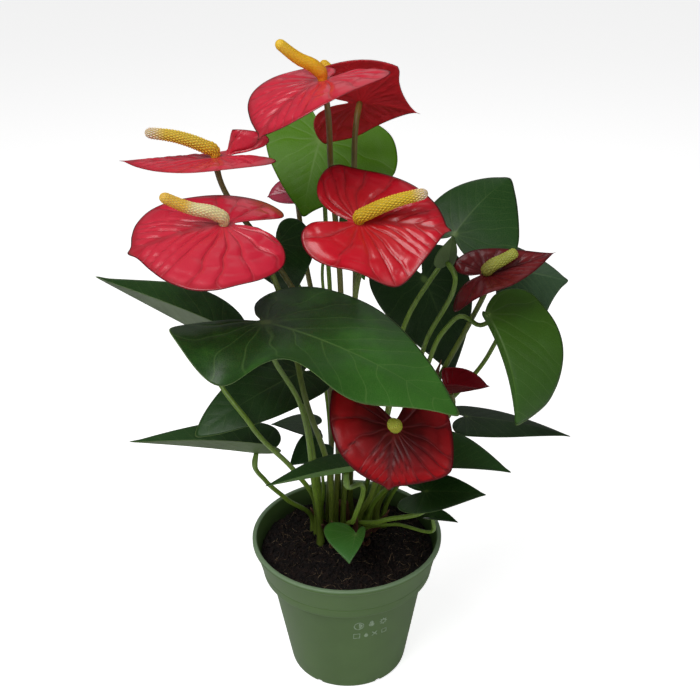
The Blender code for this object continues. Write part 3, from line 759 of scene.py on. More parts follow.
# A blade's thickness at the margin as a share of the full one, and how sharply it drops there
EDGE_THICKNESS = 0.25
EDGE_POWER = 6


def add_blade(name, blade, outline, plan, puff, material):
    """A blade as one closed skin.

    Its points are shares of the way from the stalk to the outline, bent into place and lifted along the
    normal by the quilting. The upper side runs out to the margin and the underside runs back, and the
    thickness between them falls to nothing at the margin.
    """
    settings = bpy.context.scene.anthurium_plant
    rough_edge = round_outline(blade, outline, ROUGH_OUTLINE)
    girth = np.linalg.norm(np.roll(rough_edge, 1, axis=0) - rough_edge, axis=1).sum()
    spokes = int(np.clip(girth / settings.mesh_step, *SPOKE_LIMITS))
    rings = int(np.clip(girth / TAU / settings.mesh_step * RING_DENSITY, *RING_LIMITS))
    edge = round_outline(blade, outline, spokes)
    share = np.linspace(0, 1, rings + 1)[:, None] * np.ones(spokes)
    x, y = edge[:, 0] * share, edge[:, 1] * share
    middle = bend_blade(blade, x, y)
    normals = blade_normals(blade, x, y)
    normals[0] = blade_up(blade)
    relief = puffed(blade, plan, x, y, share, puff)
    closing = EDGE_THICKNESS + (1 - EDGE_THICKNESS) * np.sqrt(1 - share ** EDGE_POWER)
    half_thick = (settings.blade_thickness * closing * (share < 1) / 2)[..., None]
    surface = middle + normals * relief[..., None]
    upper = surface + normals * half_thick
    lower = (surface - normals * half_thick)[-2::-1]
    length = blade_frame(blade)[0]
    half = blade.width * MM / 2
    count = vein_count(blade, plan, x, y)
    both = {
        "vein_count": count, "forward": x / length, "aside": y / half, "rim": share,
        "reach": np.hypot(x, y) / half, "swell": relief / max(puff, TINY),
    }
    facts = {key: np.concatenate([values, values[-2::-1]]) for key, values in both.items()}
    facts["under"] = np.concatenate([np.zeros_like(share), np.ones_like(share)[1:]])
    return add_closed_grid(name, np.concatenate([upper, lower]), material, facts)


# Stalks and spikes


def smooth_path(knots, count):
    """count points, evenly spaced, on a smooth curve through the knots (cubic Hermite spans)."""
    knots = np.array(knots)
    steps = np.linalg.norm(np.diff(knots, axis=0), axis=1)
    at = np.concatenate([[0], np.cumsum(steps)])
    slopes = np.gradient(knots, at, axis=0)
    places = np.linspace(0, at[-1], count)
    index = np.clip(np.searchsorted(at, places, side="right") - 1, 0, len(knots) - 2)
    span = steps[index][:, None]
    t = (places[:, None] - at[index][:, None]) / span
    start, end = knots[index], knots[index + 1]
    return (
        (2 * t ** 3 - 3 * t ** 2 + 1) * start + (t ** 3 - 2 * t ** 2 + t) * span * slopes[index]
        + (3 * t ** 2 - 2 * t ** 3) * end + (t ** 3 - t ** 2) * span * slopes[index + 1]
    )


def path_frame(path):
    """Two directions square to a path, from the axis that the path is least in line with."""
    tangent = unit(np.gradient(path, axis=0))
    guide = np.eye(3)[np.argmin(np.abs(tangent).max(axis=0))]
    across = unit(np.cross(tangent, guide))
    return across, np.cross(tangent, across)


def path_length(path):
    """The sum of the distances between a path's neighbours."""
    return np.linalg.norm(np.diff(path, axis=0), axis=1).sum()


def with_poles(rows):
    """The rows with the first and the last one repeated, as the poles of a closed grid need."""
    return np.concatenate([rows[:1], rows, rows[-1:]])


def swept_grid(path, radii, columns):
    """Rings carried along a path: each point is the path's plus a radius out at an angle.

    radii has a row for each point of the path, and one column or as many as a ring has points.
    """
    across, upward = path_frame(path)
    angle = np.linspace(0, TAU, columns, endpoint=False)[None, :, None]
    out = np.cos(angle) * across[:, None] + np.sin(angle) * upward[:, None]
    rings = path[:, None] + out * radii[..., None]
    return np.concatenate([
        np.repeat(path[:1, None], columns, axis=1), rings, np.repeat(path[-1:, None], columns, axis=1),
    ])


FOOT_DEPTH = 1.5 * MM
STALK_ROWS = 72
STALK_COLUMNS = 20

# The sheath at a stalk's foot: how much wider it is, as a share, and how far up it reaches
FOOT_SWELLING = 0.75
FOOT_LENGTH = 11 * MM

# The stalk's radius at its foot and how much of it is lost on the way up, as shares
FULL_RADIUS = 1.03
RADIUS_LOSS = 0.12

# The swollen joint: how much wider it is on a leaf and on a flower, as a share, how far under the blade its
# middle is, how long it is, and how far down its colour runs
PETIOLE_JOINT = 0.28
PEDUNCLE_JOINT = 0.1
JOINT_DROP = 6 * MM
JOINT_LENGTH = 4.5 * MM
JOINT_TINT_LENGTH = 12 * MM

# The fine ridges along a stalk: how many, how high as a share, and how far they turn, in radians
RIDGE_COUNT = 5
RIDGE_HEIGHT = 0.025
RIDGE_TURN = 3


def stalk_knots(blade, stalk):
    """The points a stalk passes, from its foot beside the crown to the underside of its blade."""
    (column, row), passes = stalk
    foot = np.array([
        CROWN_CENTRE[0] + (column + row / 2) * STALK_SPACING,
        CROWN_CENTRE[1] + row * math.sin(math.radians(60)) * STALK_SPACING,
        SOIL_TOP - FOOT_DEPTH,
    ])
    away = -blade_up(blade)
    end = planted(blade.base)
    return [foot, foot + (0, 0, LEAD_IN), *(planted(place) for place in passes), end + away * LEAD_IN, end]


def add_stalk(name, blade, stalk, radius, joint, material):
    """A petiole or peduncle.

    Its radius is a sum: a slow taper, a sheath that narrows within the first centimetre or two, a swollen
    joint just under the blade, and fine ridges along it. joint is the swelling's height as a share.
    """
    path = smooth_path(stalk_knots(blade, stalk), STALK_ROWS)
    length = path_length(path)
    along = np.linspace(0, 1, STALK_ROWS)[:, None]
    left_over = (1 - along) * length
    angle = np.linspace(0, TAU, STALK_COLUMNS, endpoint=False)[None]
    foot = FOOT_SWELLING * np.exp(-(along * length / FOOT_LENGTH) ** 2)
    taper = FULL_RADIUS - RADIUS_LOSS * along
    swelling = joint * np.exp(-((left_over - JOINT_DROP) / JOINT_LENGTH) ** 2)
    ridges = RIDGE_HEIGHT * np.cos(RIDGE_COUNT * angle + RIDGE_TURN * along)
    radii = radius * (foot + taper + swelling + ridges)
    grid = swept_grid(path, radii, STALK_COLUMNS)
    share = with_poles(along) * np.ones(STALK_COLUMNS)
    joint_share = np.exp(-(((1 - share) * length) / JOINT_TINT_LENGTH) ** 2)
    return add_closed_grid(name, grid, material, {"along": share, "joint": joint_share})


# A spike's path: how far above the spathe it starts, how far it goes straight out, and how much of the way
# to the tip it has gone a millimetre later
SEAT_CLEARANCE = 0.2 * MM
SPIKE_LEAD_IN = 3 * MM
EARLY_LEAN = 0.15
SPIKE_ROWS = 150
SPIKE_COLUMNS = 104

# A spike's radius as shares of the full one: at its foot and its loss towards the tip. Then, as shares of
# its length, where it is full, where it starts to taper and where its dome starts, and the dome's power.
NECK = 0.72
TIP_LOSS = 0.2
NECK_END = 0.14
TAPER_START = 0.2
DOME_START = 0.9
DOME_POWER = 2.2
SMALLEST_RADIUS = 0.02 * MM

# The florets: how many spirals each way, how far apart along the spike, how high, how flat-topped, and the
# share of the spike's length by which they are in full
SPIRALS = 13
FLORET_PITCH = 3 * MM
FLORET_HEIGHT = 0.45 * MM
FLORET_POWER = 0.6
FLORET_START = 0.04


def add_spike(name, blade, tip, bow, florets, material):
    """A flower spike.

    Its path leaves the spathe squarely and bends to its tip. Its radius swells to full at the neck's end
    and closes in a dome at the tip. Florets are bumps where two families of spirals cross: the height is
    a power of the mean of cos(spirals angle + turn) and cos(spirals angle - turn), where it is above zero.
    """
    settings = bpy.context.scene.anthurium_plant
    up = blade_up(blade)
    start = planted(blade.base) + up * SEAT_CLEARANCE
    end = planted(tip)
    middle = (start + end) / 2 + up * bow * MM
    lead = start + up * SPIKE_LEAD_IN
    path = smooth_path([start, lead, lead + up * MM + (end - start) * EARLY_LEAN, middle, end], SPIKE_ROWS)
    along = np.linspace(0, 1, SPIKE_ROWS)[:, None]
    neck = NECK + (1 - NECK) * smooth_step(0, NECK_END, along)
    body = neck - TIP_LOSS * smooth_step(TAPER_START, 1, along)
    into_dome = np.clip((along - DOME_START) / (1 - DOME_START), 0, 1)
    dome = np.sqrt(np.clip(1 - into_dome ** DOME_POWER, 0, 1))
    spirals = SPIRALS * np.linspace(0, TAU, SPIKE_COLUMNS, endpoint=False)[None]
    turn = along * path_length(path) / FLORET_PITCH * TAU
    bumps = np.clip((np.cos(spirals + turn) + np.cos(spirals - turn)) / 2, 0, 1) ** FLORET_POWER
    relief = FLORET_HEIGHT * florets * bumps * smooth_step(0, FLORET_START, along) * dome
    radii = np.maximum(settings.spadix_radius * body * dome + relief, SMALLEST_RADIUS)
    facts = {"along": with_poles(along) * np.ones(SPIKE_COLUMNS), "floret": with_poles(bumps)}
    return add_closed_grid(name, swept_grid(path, radii, SPIKE_COLUMNS), material, facts)


# Materials of the plant

VEIN_GREEN = (0.25, 0.38, 0.12)
LEAF_RIM = (0.22, 0.33, 0.10)
LEAF_HUB = (0.16, 0.26, 0.06)
SPATHE_RIM = (0.13, 0.008, 0.016)
SPATHE_POINT = (0.16, 0.03, 0.02)
STALK_FLECK = (0.28, 0.3, 0.12)
PAPER_DARK = (0.055, 0.014, 0.010)
PAPER_LIGHT = (0.20, 0.075, 0.035)
PAPER_RIB = (0.04, 0.012, 0.008)
PAPER_RIM = (0.32, 0.2, 0.1)


def tinted(colour, factor, extra=0):
    """The colour, times a factor and plus a little."""
    return tuple(min(1, factor * part + extra) for part in colour)


def side_vein_line(graph, fade, width):
    """1 on a side vein and beside the stalk, and 0 between veins."""
    off_vein = abs(graph.math("FRACT", graph.attribute("vein_count") + 0.5) - 0.5)
    return 1 - graph.step(off_vein * graph.step(graph.attribute("reach"), 0, fade), 0.0, width)


def leaf_material(name, look):
    """Waxy leaf: colour drifts from stalk to tip, pale veins and rim, matt paler underside."""
    graph = Graph(name)
    forward = graph.attribute("forward")
    under = graph.attribute("under")
    rim = graph.attribute("rim")
    reach = graph.attribute("reach")
    side_vein = side_vein_line(graph, 0.8, 0.045)
    off_midrib = abs(graph.attribute("aside"))
    midrib = 1 - graph.step(off_midrib + 0.03 * forward, 0.008, 0.035)
    mottle = graph.noise(38, 4, 0.6)
    fine = graph.cells(900)
    body = graph.mix(graph.step(forward, -0.1, 0.95), look.base, look.tip)
    lighter = graph.mix(0.5, body, tinted(look.tip, 1.35, 0.002))
    body = graph.mix(graph.step(mottle, 0.42, 0.72), body, lighter)
    vein_colour = tuple(0.55 * part + 0.45 * pale for part, pale in zip(look.tip, VEIN_GREEN))
    veins = (side_vein * 0.6).most(midrib) * look.veins
    body = graph.mix(veins, body, vein_colour)
    body = graph.mix((1 - graph.step(fine, 0.0, 0.16)) * 0.12, body, vein_colour)
    below = graph.mix(graph.step(mottle, 0.35, 0.75), look.under, tinted(look.under, 0.7))
    below = graph.mix((side_vein * 0.5).most(midrib) * 0.6, below, tinted(look.under, 1.5))
    colour = graph.mix(graph.step(under, 0.4, 0.6), body, below)
    colour = graph.mix(graph.step(rim, 0.985, 0.998) * 0.75, colour, LEAF_RIM)
    hub = 1 - graph.step(reach, 0.03, 0.09)
    colour = graph.mix(hub * 0.6, colour, LEAF_HUB)
    grain = graph.noise(520, 3, 0.6)
    height = grain * 0.25 + (1 - veins * 0.8) * 0.5 + graph.step(fine, 0, 0.2) * 0.2
    return graph.finish(
        Base_Color=colour,
        Roughness=0.30 + mottle * 0.14 + under * 0.16,
        Normal=graph.bump(height, 0.35, 0.0004),
        Specular_IOR_Level=0.3 * look.gloss,
        Coat_Weight=0.06 * look.gloss,
        Coat_Roughness=0.2,
    )


def spathe_material(name, look):
    """Lacquered spathe: painted shade darkens its creases to a deep red, a painted sheen makes its swellings
    paler, and it has a thin dark rim.
    """
    graph = Graph(name)
    forward = graph.attribute("forward")
    under = graph.attribute("under")
    rim = graph.attribute("rim")
    reach = graph.attribute("reach")
    swell = graph.attribute("swell")
    side_vein = side_vein_line(graph, 0.7, 0.06)
    midrib = 1 - graph.step(abs(graph.attribute("aside")), 0.01, 0.04)
    mottle = graph.noise(60, 4, 0.6)
    body = graph.mix(graph.step(reach + mottle * 0.35 - 0.17, 0.35, 1.0), look.heart, look.margin)
    # Painted shade: where the relief is low, in the creases, the colour turns deep red.
    deep = (0.6 * look.heart[0], 0.1 * look.heart[1], 0.3 * look.heart[2])
    body = graph.mix((1 - graph.step(swell, 0.0, 0.35)) * graph.step(reach, 0.1, 0.3) * 0.75, body, deep)
    # Painted sheen: the high swellings are paler.
    pale = tinted(look.margin, 1.08, 0.012)
    body = graph.mix(graph.step(swell + mottle * 0.3, 0.6, 1.3) * 0.3, body, pale)
    body = graph.mix(side_vein.most(midrib) * 0.25, body, tinted(look.margin, 0.8, 0.05))
    below = graph.mix(graph.step(mottle, 0.3, 0.8), look.under, tinted(look.under, 0.7))
    below = graph.mix(side_vein.most(midrib) * 0.3, below, tinted(look.under, 1.5, 0.01))
    colour = graph.mix(graph.step(under, 0.4, 0.6), body, below)
    colour = graph.mix(graph.step(rim, 0.98, 0.997) * 0.8, colour, SPATHE_RIM)
    colour = graph.mix(graph.step(forward, 0.93, 1.0) * 0.7, colour, SPATHE_POINT)
    grain = graph.noise(420, 3, 0.55)
    wrinkle = graph.noise(150, 3, 0.6, 0.6)
    height = grain * 0.12 + wrinkle * 0.3 - side_vein * 0.35
    return graph.finish(
        Base_Color=colour,
        Roughness=0.26 + mottle * 0.12 + under * 0.18,
        Normal=graph.bump(height, 0.35, 0.0012),
        Specular_IOR_Level=0.5 * look.gloss,
        Coat_Weight=(0.25 - 0.2 * under) * look.gloss,
        Coat_Roughness=0.15,
        Coat_IOR=1.5,
    )


def stalk_material(name, foot, middle, top):
    """Satin stalk: its colour changes from foot to top, with fine streaks along it and a paler joint."""
    graph = Graph(name)
    along = graph.attribute("along")
    stretched = graph.node("ShaderNodeMapping", None, {"Vector": graph.place(), "Scale": (1, 1, 0.06)})
    streaks = graph.noise(900, 3, 0.6, at=stretched.outputs["Vector"])
    colour = graph.mix(graph.step(along, 0.02, 0.35), foot, middle)
    colour = graph.mix(graph.step(along, 0.6, 1.0), colour, top)
    colour = graph.mix(graph.step(streaks, 0.5, 0.72) * 0.4, colour, tinted(middle, 1.6))
    colour = graph.mix(graph.step(streaks, 0.5, 0.3) * 0.35, colour, tinted(foot, 0.5))
    colour = graph.mix(graph.attribute("joint") * 0.45, colour, tinted(top, 1.5))
    flecks = graph.step(graph.noise(1600, 2, 0.5), 0.66, 0.72)
    colour = graph.mix(flecks * 0.25, colour, STALK_FLECK)
    return graph.finish(
        Base_Color=colour, Roughness=0.34 + streaks * 0.2, Normal=graph.bump(streaks, 0.25, 0.0004),
        Coat_Weight=0.1,
    )


def spike_material(name, look):
    """Flower spike: three colours along it, painted shade in the gaps between its florets and a painted
    highlight on their tops.
    """
    graph = Graph(name)
    along = graph.attribute("along")
    floret = graph.attribute("floret")
    grain = graph.noise(700, 3, 0.6)
    drift = along + grain * 0.12 - 0.06
    colour = graph.mix(graph.step(drift, look.start - 0.12, look.start + 0.12), look.foot, look.middle)
    colour = graph.mix(graph.step(drift, look.end - 0.12, look.end + 0.08), colour, look.tip)
    # Painted shade: the gaps between the florets are darker.
    floret_gap_shade = (1 - graph.step(floret, 0.0, 0.5)) * 0.8 * look.florets
    colour = graph.mix(floret_gap_shade, colour, tinted(look.middle, 0.5))
    # Painted highlight: the florets' tops are paler.
    top = graph.step(floret, 0.75, 1.0) * 0.3 * look.florets
    colour = graph.mix(top, colour, tinted(look.middle, 1.15, 0.02))
    return graph.finish(
        Base_Color=colour,
        Roughness=0.42 + grain * 0.2,
        Normal=graph.bump(floret * look.florets + grain * 0.3, 0.4, 0.0005),
        Subsurface_Weight=0.15,
        Subsurface_Scale=0.004,
        Subsurface_Radius=(0.8, 0.5, 0.1),
    )


def sheath_material():
    """Dry papery sheath: reddish brown with darker ribs along it and a torn pale rim."""
    graph = Graph("papery_sheath")
    ribs = graph.attribute("aside")
    lines = graph.math("SINE", ribs * 26 + graph.noise(120, 2, 0.5) * 6) * 0.5 + 0.5
    mottle = graph.noise(160, 4, 0.65)
    colour = graph.mix(graph.step(mottle, 0.3, 0.7), PAPER_DARK, PAPER_LIGHT)
    colour = graph.mix(lines * 0.35, colour, PAPER_RIB)
    colour = graph.mix(graph.step(graph.attribute("rim"), 0.9, 1.0) * 0.5, colour, PAPER_RIM)
    return graph.finish(
        Base_Color=colour, Roughness=0.62 + mottle * 0.25, Normal=graph.bump(lines + mottle, 0.5, 0.0005),
    )


# The pot


class ANTHURIUM_OT_pot(bpy.types.Operator):
    """The moulded nursery pot, with a rolled lip, a flared collar, foot notches and drain holes."""

    bl_idname = "anthurium.pot"
    bl_label = "Pot"

    def execute(self, context):
        item = add_pot("nursery_pot", pot_material(context.scene.anthurium_pot))
        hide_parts("pot")
        add_symbols("care_symbols", context.scene.anthurium_pot)
        return {"FINISHED"}


# The pot's outside, from the foot to the lip: the body leans out to a short shoulder under the collar's
# foot, a fine groove goes round the collar, and the lip stands out over it.
BASE_RADIUS = 37.5 * MM
BODY_TOP = 68.8 * MM
BODY_TOP_RADIUS = 49.3 * MM
COLLAR_FOOT = 70 * MM
COLLAR_FOOT_RADIUS = 54 * MM
LIP_FOOT = 92 * MM
LIP_OVERHANG = 1.2 * MM
POT_WALL = 1.4 * MM
POT_FLOOR = 2 * MM
FOOT_BAND = 2.4 * MM
GROOVE_HEIGHT = 77 * MM
GROOVE_HALF = 0.6 * MM
CORNER_RADIUS = 1 * MM
CORNER_STEPS = 6
POT_COLUMNS = 240

# The notches in the foot's edge: their height, the circle that they start from and are in full at, and the
# cosines between which their sides slope
NOTCH_HEIGHT = 1.8 * MM
NOTCH_REACH = (BASE_RADIUS - 5 * MM, BASE_RADIUS - 3 * MM)
NOTCH_SIDES = (0.955, 0.985)

# The drain holes, and how far round the first one is, as a share of the angle between them
DRAIN_HOLES = 6
DRAIN_HOLE_RADIUS = 4 * MM
DRAIN_RING_RADIUS = 23 * MM
DRAIN_TURN = 0.51
HOLE_COLUMNS = 24


def wall_radius(height):
    """Radius of the pot's leaning body at a height."""
    return BASE_RADIUS + (BODY_TOP_RADIUS - BASE_RADIUS) * height / BODY_TOP


def pot_profile():
    """Radius and height of the pot's skin, from the middle of the base out, up, over the lip and back in."""
    inner_lip = RIM_RADIUS - LIP_OVERHANG - POT_WALL
    return np.array([
        (0, 0), (BASE_RADIUS - 6 * MM, 0), (BASE_RADIUS - 0.3 * MM, 0), (wall_radius(FOOT_BAND), FOOT_BAND),
        (BODY_TOP_RADIUS, BODY_TOP), (COLLAR_FOOT_RADIUS, COLLAR_FOOT + 0.4 * MM),
        (COLLAR_FOOT_RADIUS + 1.0 * MM, GROOVE_HEIGHT - GROOVE_HALF),
        (COLLAR_FOOT_RADIUS + 0.85 * MM, GROOVE_HEIGHT),
        (COLLAR_FOOT_RADIUS + 1.3 * MM, GROOVE_HEIGHT + GROOVE_HALF),
        (RIM_RADIUS - LIP_OVERHANG - 0.3 * MM, LIP_FOOT - 0.8 * MM), (RIM_RADIUS, LIP_FOOT),
        (RIM_RADIUS, POT_HEIGHT), (inner_lip, POT_HEIGHT),
        (COLLAR_FOOT_RADIUS - POT_WALL, COLLAR_FOOT + 2 * MM), (BODY_TOP_RADIUS - POT_WALL, COLLAR_FOOT),
        (BASE_RADIUS - POT_WALL, POT_FLOOR), (0, POT_FLOOR),
    ])


def rounded(profile, radius, steps):
    """The profile with each corner replaced by a quadratic curve that starts and ends a radius from it."""
    corner = profile[1:-1]
    back, ahead = unit(profile[:-2] - corner), unit(profile[2:] - corner)
    room = np.minimum(
        np.linalg.norm(profile[:-2] - corner, axis=1), np.linalg.norm(profile[2:] - corner, axis=1),
    )[:, None] * 0.45
    reach = np.minimum(radius, room)
    t = np.linspace(0, 1, steps)[None, :, None]
    start, end = (corner + back * reach)[:, None], (corner + ahead * reach)[:, None]
    curves = (1 - t) ** 2 * start + 2 * t * (1 - t) * corner[:, None] + t ** 2 * end
    return np.concatenate([profile[:1], curves.reshape(-1, 2), profile[-1:]])


def turned_grid(profile, columns):
    """The profile turned about the Z axis: x = radius cos angle, y = radius sin angle."""
    angle = np.linspace(0, TAU, columns, endpoint=False)[None]
    radius, height = profile[:, :1], profile[:, 1:]
    return np.stack([radius * np.cos(angle), radius * np.sin(angle), height * np.ones(columns)], axis=-1)


def add_pot(name, material):
    """The pot: its rounded profile turned, notches lifted into the foot's edge, and drain holes cut."""
    grid = turned_grid(rounded(pot_profile(), CORNER_RADIUS, CORNER_STEPS), POT_COLUMNS)
    angle = np.arctan2(grid[..., 1], grid[..., 0])
    radius = np.hypot(grid[..., 0], grid[..., 1])
    at_notch = smooth_step(*NOTCH_SIDES, np.cos(DRAIN_HOLES * angle))
    at_edge = smooth_step(*NOTCH_REACH, radius) * (grid[..., 2] < NOTCH_HEIGHT)
    grid[..., 2] += (NOTCH_HEIGHT - grid[..., 2]) * at_notch * at_edge
    first_top_row = np.argmax(grid[:, 0, 2] > POT_HEIGHT - TINY)
    inside = np.arange(len(grid)) > first_top_row + CORNER_STEPS
    pot = add_closed_grid(name, grid, material, {"inside": inside[:, None] * np.ones(POT_COLUMNS)})
    drill_holes(pot)
    return pot


def drill_holes(pot):
    """Cut the drain holes with turned plugs, and keep only the result."""
    plug_profile = np.array([
        (0, -POT_FLOOR), (DRAIN_HOLE_RADIUS, -POT_FLOOR), (DRAIN_HOLE_RADIUS, 2 * POT_FLOOR),
        (0, 2 * POT_FLOOR),
    ])
    plugs = []
    for number in range(DRAIN_HOLES):
        angle = TAU * (number + DRAIN_TURN) / DRAIN_HOLES
        centre = np.array([math.cos(angle), math.sin(angle), 0]) * DRAIN_RING_RADIUS
        grid = turned_grid(plug_profile, HOLE_COLUMNS) + centre
        plug = add_closed_grid(f"plug_{number + 1}", grid, None, rides=False)
        cut = pot.modifiers.new(plug.name, "BOOLEAN")
        cut.operation = "DIFFERENCE"
        cut.object = plug
        plugs.append(plug)
    graph = bpy.context.evaluated_depsgraph_get()
    cut_mesh = bpy.data.meshes.new_from_object(pot.evaluated_get(graph))
    pot.modifiers.clear()
    pot.data = cut_mesh
    for plug in plugs:
        bpy.data.objects.remove(plug, do_unlink=True)


# What shows on the plastic: the scuffed lip, how far peat stain and painted shade darken the inside under the
# rim, dust near the foot, and moulding bands, whose rate is in radians for each metre of height
WORN_LIP = (0.25, 0.36, 0.22)
DUST = (0.2, 0.2, 0.14)
LIP_ZONE = (POT_HEIGHT - 1.6 * MM, POT_HEIGHT - 0.4 * MM)
PEAT_STAIN_AND_SHADE_ZONE = (POT_HEIGHT - 18 * MM, POT_HEIGHT - 7 * MM)
PEAT_STAIN_AND_SHADE_SMEAR = 14 * MM
DUST_TOP = 50 * MM
BAND_RATE = 5200


def pot_material(settings):
    """Moulded plastic: satin, faint moulding bands round it, dust towards the foot, paler worn lip, painted
    shade and peat stain inside.
    """
    colour = tuple(settings.pot_colour)
    graph = Graph("pot_plastic")
    split = graph.node("ShaderNodeSeparateXYZ", None, {"Vector": graph.place()})
    height = Wire(graph, split.outputs["Z"])
    cloud = graph.noise(24, 3, 0.55)
    speck = graph.noise(900, 2, 0.6)
    body = graph.mix(graph.step(cloud, 0.3, 0.75) * 0.6, colour, tinted(colour, 1.3, 0.01))
    body = graph.mix(graph.step(height, *LIP_ZONE) * 0.7, body, WORN_LIP)
    # Mask of peat stain and painted shade on the inside, low down near the peat.
    smear = graph.noise(90, 4, 0.65)
    peat_stain_and_shade = 1 - graph.step(height - smear * PEAT_STAIN_AND_SHADE_SMEAR, *PEAT_STAIN_AND_SHADE_ZONE)
    within = graph.attribute("inside")
    # Painted shade darkens the whole inside; then peat stain and painted shade turn it to the peat's colour
    # near the peat.
    body = graph.mix(within * 0.85, body, tinted(colour, 0.35))
    body = graph.mix(within * peat_stain_and_shade * 0.9, body, tuple(settings.peat_colour))
    dust = graph.step(speck, 0.66, 0.74) * (1 - graph.step(height, 0.0, DUST_TOP)) * 0.2
    body = graph.mix(dust, body, DUST)
    bands = graph.math("SINE", height * BAND_RATE) * 0.5 + 0.5
    return graph.finish(
        Base_Color=body,
        Roughness=0.36 + cloud * 0.14 + speck * 0.05,
        Normal=graph.bump(speck * 0.5 + bands * 0.15, 0.12, 0.0003),
        Specular_IOR_Level=0.45,
    )


# Care symbols: across and up on the wall in millimetres, size, and the kind of outline
SYMBOLS = [
    (-8, 58, 3.2, "ring"), (-8, 58, 2.2, "half"), (0, 58, 2.4, "drop"), (8, 58, 2.6, "sun"),
    (-9, 49, 2.7, "frame"), (-3, 48.5, 1.7, "drop"), (2.5, 49, 2.4, "cross"), (9, 49, 2.2, "frame"),
]
SYMBOL_TURN = math.radians(-72)
SYMBOL_COLUMNS = 48

# The print's face above the wall and its back inside it, and a hole that is almost closed
SYMBOL_FACE = 0.12 * MM
SYMBOL_BACK = -0.1 * MM
NO_HOLE = 0.02


def symbol_outline(kind):
    """Radius round a symbol as a function of the angle, and its hole's radius as a share of it."""
    angle = np.linspace(0, TAU, SYMBOL_COLUMNS, endpoint=False)
    square = 1 / np.maximum(np.abs(np.cos(angle)), np.abs(np.sin(angle)))
    shapes = {
        "ring": (np.ones(SYMBOL_COLUMNS), 0.82),
        "half": (np.where(np.cos(angle) > 0, 1.0, 0.06), NO_HOLE),
        "drop": (0.75 + 0.6 * np.clip(np.sin(angle), 0, 1) ** 8, NO_HOLE),
        "sun": (0.7 + 0.3 * (np.cos(8 * angle) > 0), 0.5),
        "frame": (square * 0.8, 0.75),
        "cross": (0.3 + 0.75 * np.abs(np.cos(2 * (angle + math.pi / 4))) ** 6, NO_HOLE),
    }
    return angle, *shapes[kind]


def add_symbols(name, settings):
    """Raised care symbols, as one piece of flat rings wrapped on the wall: across / radius is their angle."""
    graph = Graph("symbol_print")
    wear = graph.noise(700, 3, 0.6)
    colour = tuple(settings.print_colour)
    material = graph.finish(
        Base_Color=graph.mix(graph.step(wear, 0.4, 0.7) * 0.6, colour, tuple(settings.pot_colour)),
        Roughness=0.4 + wear * 0.2,
    )
    all_points, all_quads = [], []
    for across, up, size, kind in SYMBOLS:
        angle, outline, hole = symbol_outline(kind)
        share = np.array([hole, 1, 1, hole])[:, None]
        lift = np.array([SYMBOL_FACE, SYMBOL_FACE, SYMBOL_BACK, SYMBOL_BACK])[:, None]
        sideways = (across + size * share * outline * np.cos(angle)) * MM
        height = (up + size * share * outline * np.sin(angle)) * MM
        radius = wall_radius(height)
        turn = SYMBOL_TURN + sideways / radius
        out = radius + lift
        points = np.stack([out * np.cos(turn), out * np.sin(turn), height], axis=-1)
        first = len(share) * SYMBOL_COLUMNS * len(all_points)
        all_quads.append(grid_faces(len(share), SYMBOL_COLUMNS, loop_rows=True)[:, ::-1] + first)
        all_points.append(points.reshape(-1, 3))
    quads = np.concatenate(all_quads)
    item = link_mesh(name, np.concatenate(all_points), quads.ravel(), np.full(len(quads), 4), material)
    item.data.shade_flat()
    return item


# The peat


class ANTHURIUM_OT_peat(bpy.types.Operator):
    """The moist peat: its lumpy surface, loose crumbs and pale fibres."""

    bl_idname = "anthurium.peat"
    bl_label = "Peat"

    def execute(self, context):
        settings = context.scene.anthurium_pot
        soil = add_peat("peat", peat_material("peat_surface", settings, 1.0))
        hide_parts("soil")
        crumb_material = peat_material("peat_crumb", settings, DRY_CRUMB)
        crumbs = add_crumbs("peat_crumbs", settings.crumb_count, crumb_material)
        fibres = add_fibres("peat_fibres", settings.fibre_count, fibre_material())
        return {"FINISHED"}


# How far the peat's mean level is under the solid's top, and how high and wide it rises at the crown
PEAT_DROP = 1.2 * MM
CROWN_RISE = 2 * MM
CROWN_RISE_WIDTH = 22 * MM

# The peat's broad waves, lumps and grit: height, wavelength, seed and number of waves in each
PEAT_RIPPLES = [(0.9 * MM, 34 * MM, 21, 9), (0.8 * MM, 7 * MM, 22, 9), (0.45 * MM, 2.4 * MM, 23, 14)]
PEAT_COLUMNS = 300
PEAT_RINGS = 76
EDGE_GAP = 0.2 * MM

# The peat's colours, and how much paler its drier crumbs are
DRY_CRUMB = 1.7
PEAT_BROWN = (0.02, 0.010, 0.007)
PEAT_DRIFT = (0.012, 0.006, 0.005)
FIBRE_BROWN = (0.06, 0.032, 0.018)
FIBRE_STRAW = (0.30, 0.21, 0.12)

# Crumbs: the largest one's radius, the range whose square is a crumb's share of it, the ranges of stretch
# and dents, how far crumbs keep from the edge, and how far they sit up
CRUMB_RADIUS = 1.5 * MM
CRUMB_SHARES = (0.35, 1.0)
CRUMB_STRETCH = (0.55, 1.3)
CRUMB_DENTS = (0.75, 1.2)
CRUMB_INSET = 1.6 * MM
CRUMB_LIFT = 0.15 * MM
CRUMB_SEED = 31

# Fibres: ranges of length, rise and radius in millimetres, how strongly they bend in radians, how far from
# the edge they start and keep, and how far they sit up
FIBRE_LENGTHS = (3, 14)
FIBRE_RISES = (0.2, 2.0)
FIBRE_RADII = (0.06, 0.16)
FIBRE_BEND = 0.9
FIBRE_INSET = 4 * MM
FIBRE_MARGIN = 2 * MM
FIBRE_LIFT = 0.35 * MM
FIBRE_SEED = 47


def peat_height(x, y):
    """Height of the peat's surface: ripples, and a slight rise at the crown."""
    flat = np.stack([x, y], axis=-1)
    away = np.hypot(x - CROWN_CENTRE[0], y - CROWN_CENTRE[1])
    rise = CROWN_RISE * np.exp(-(away / CROWN_RISE_WIDTH) ** 2)
    waves = sum(height * ripples(flat, *wave) for height, *wave in PEAT_RIPPLES)
    return SOIL_TOP - PEAT_DROP + rise + waves


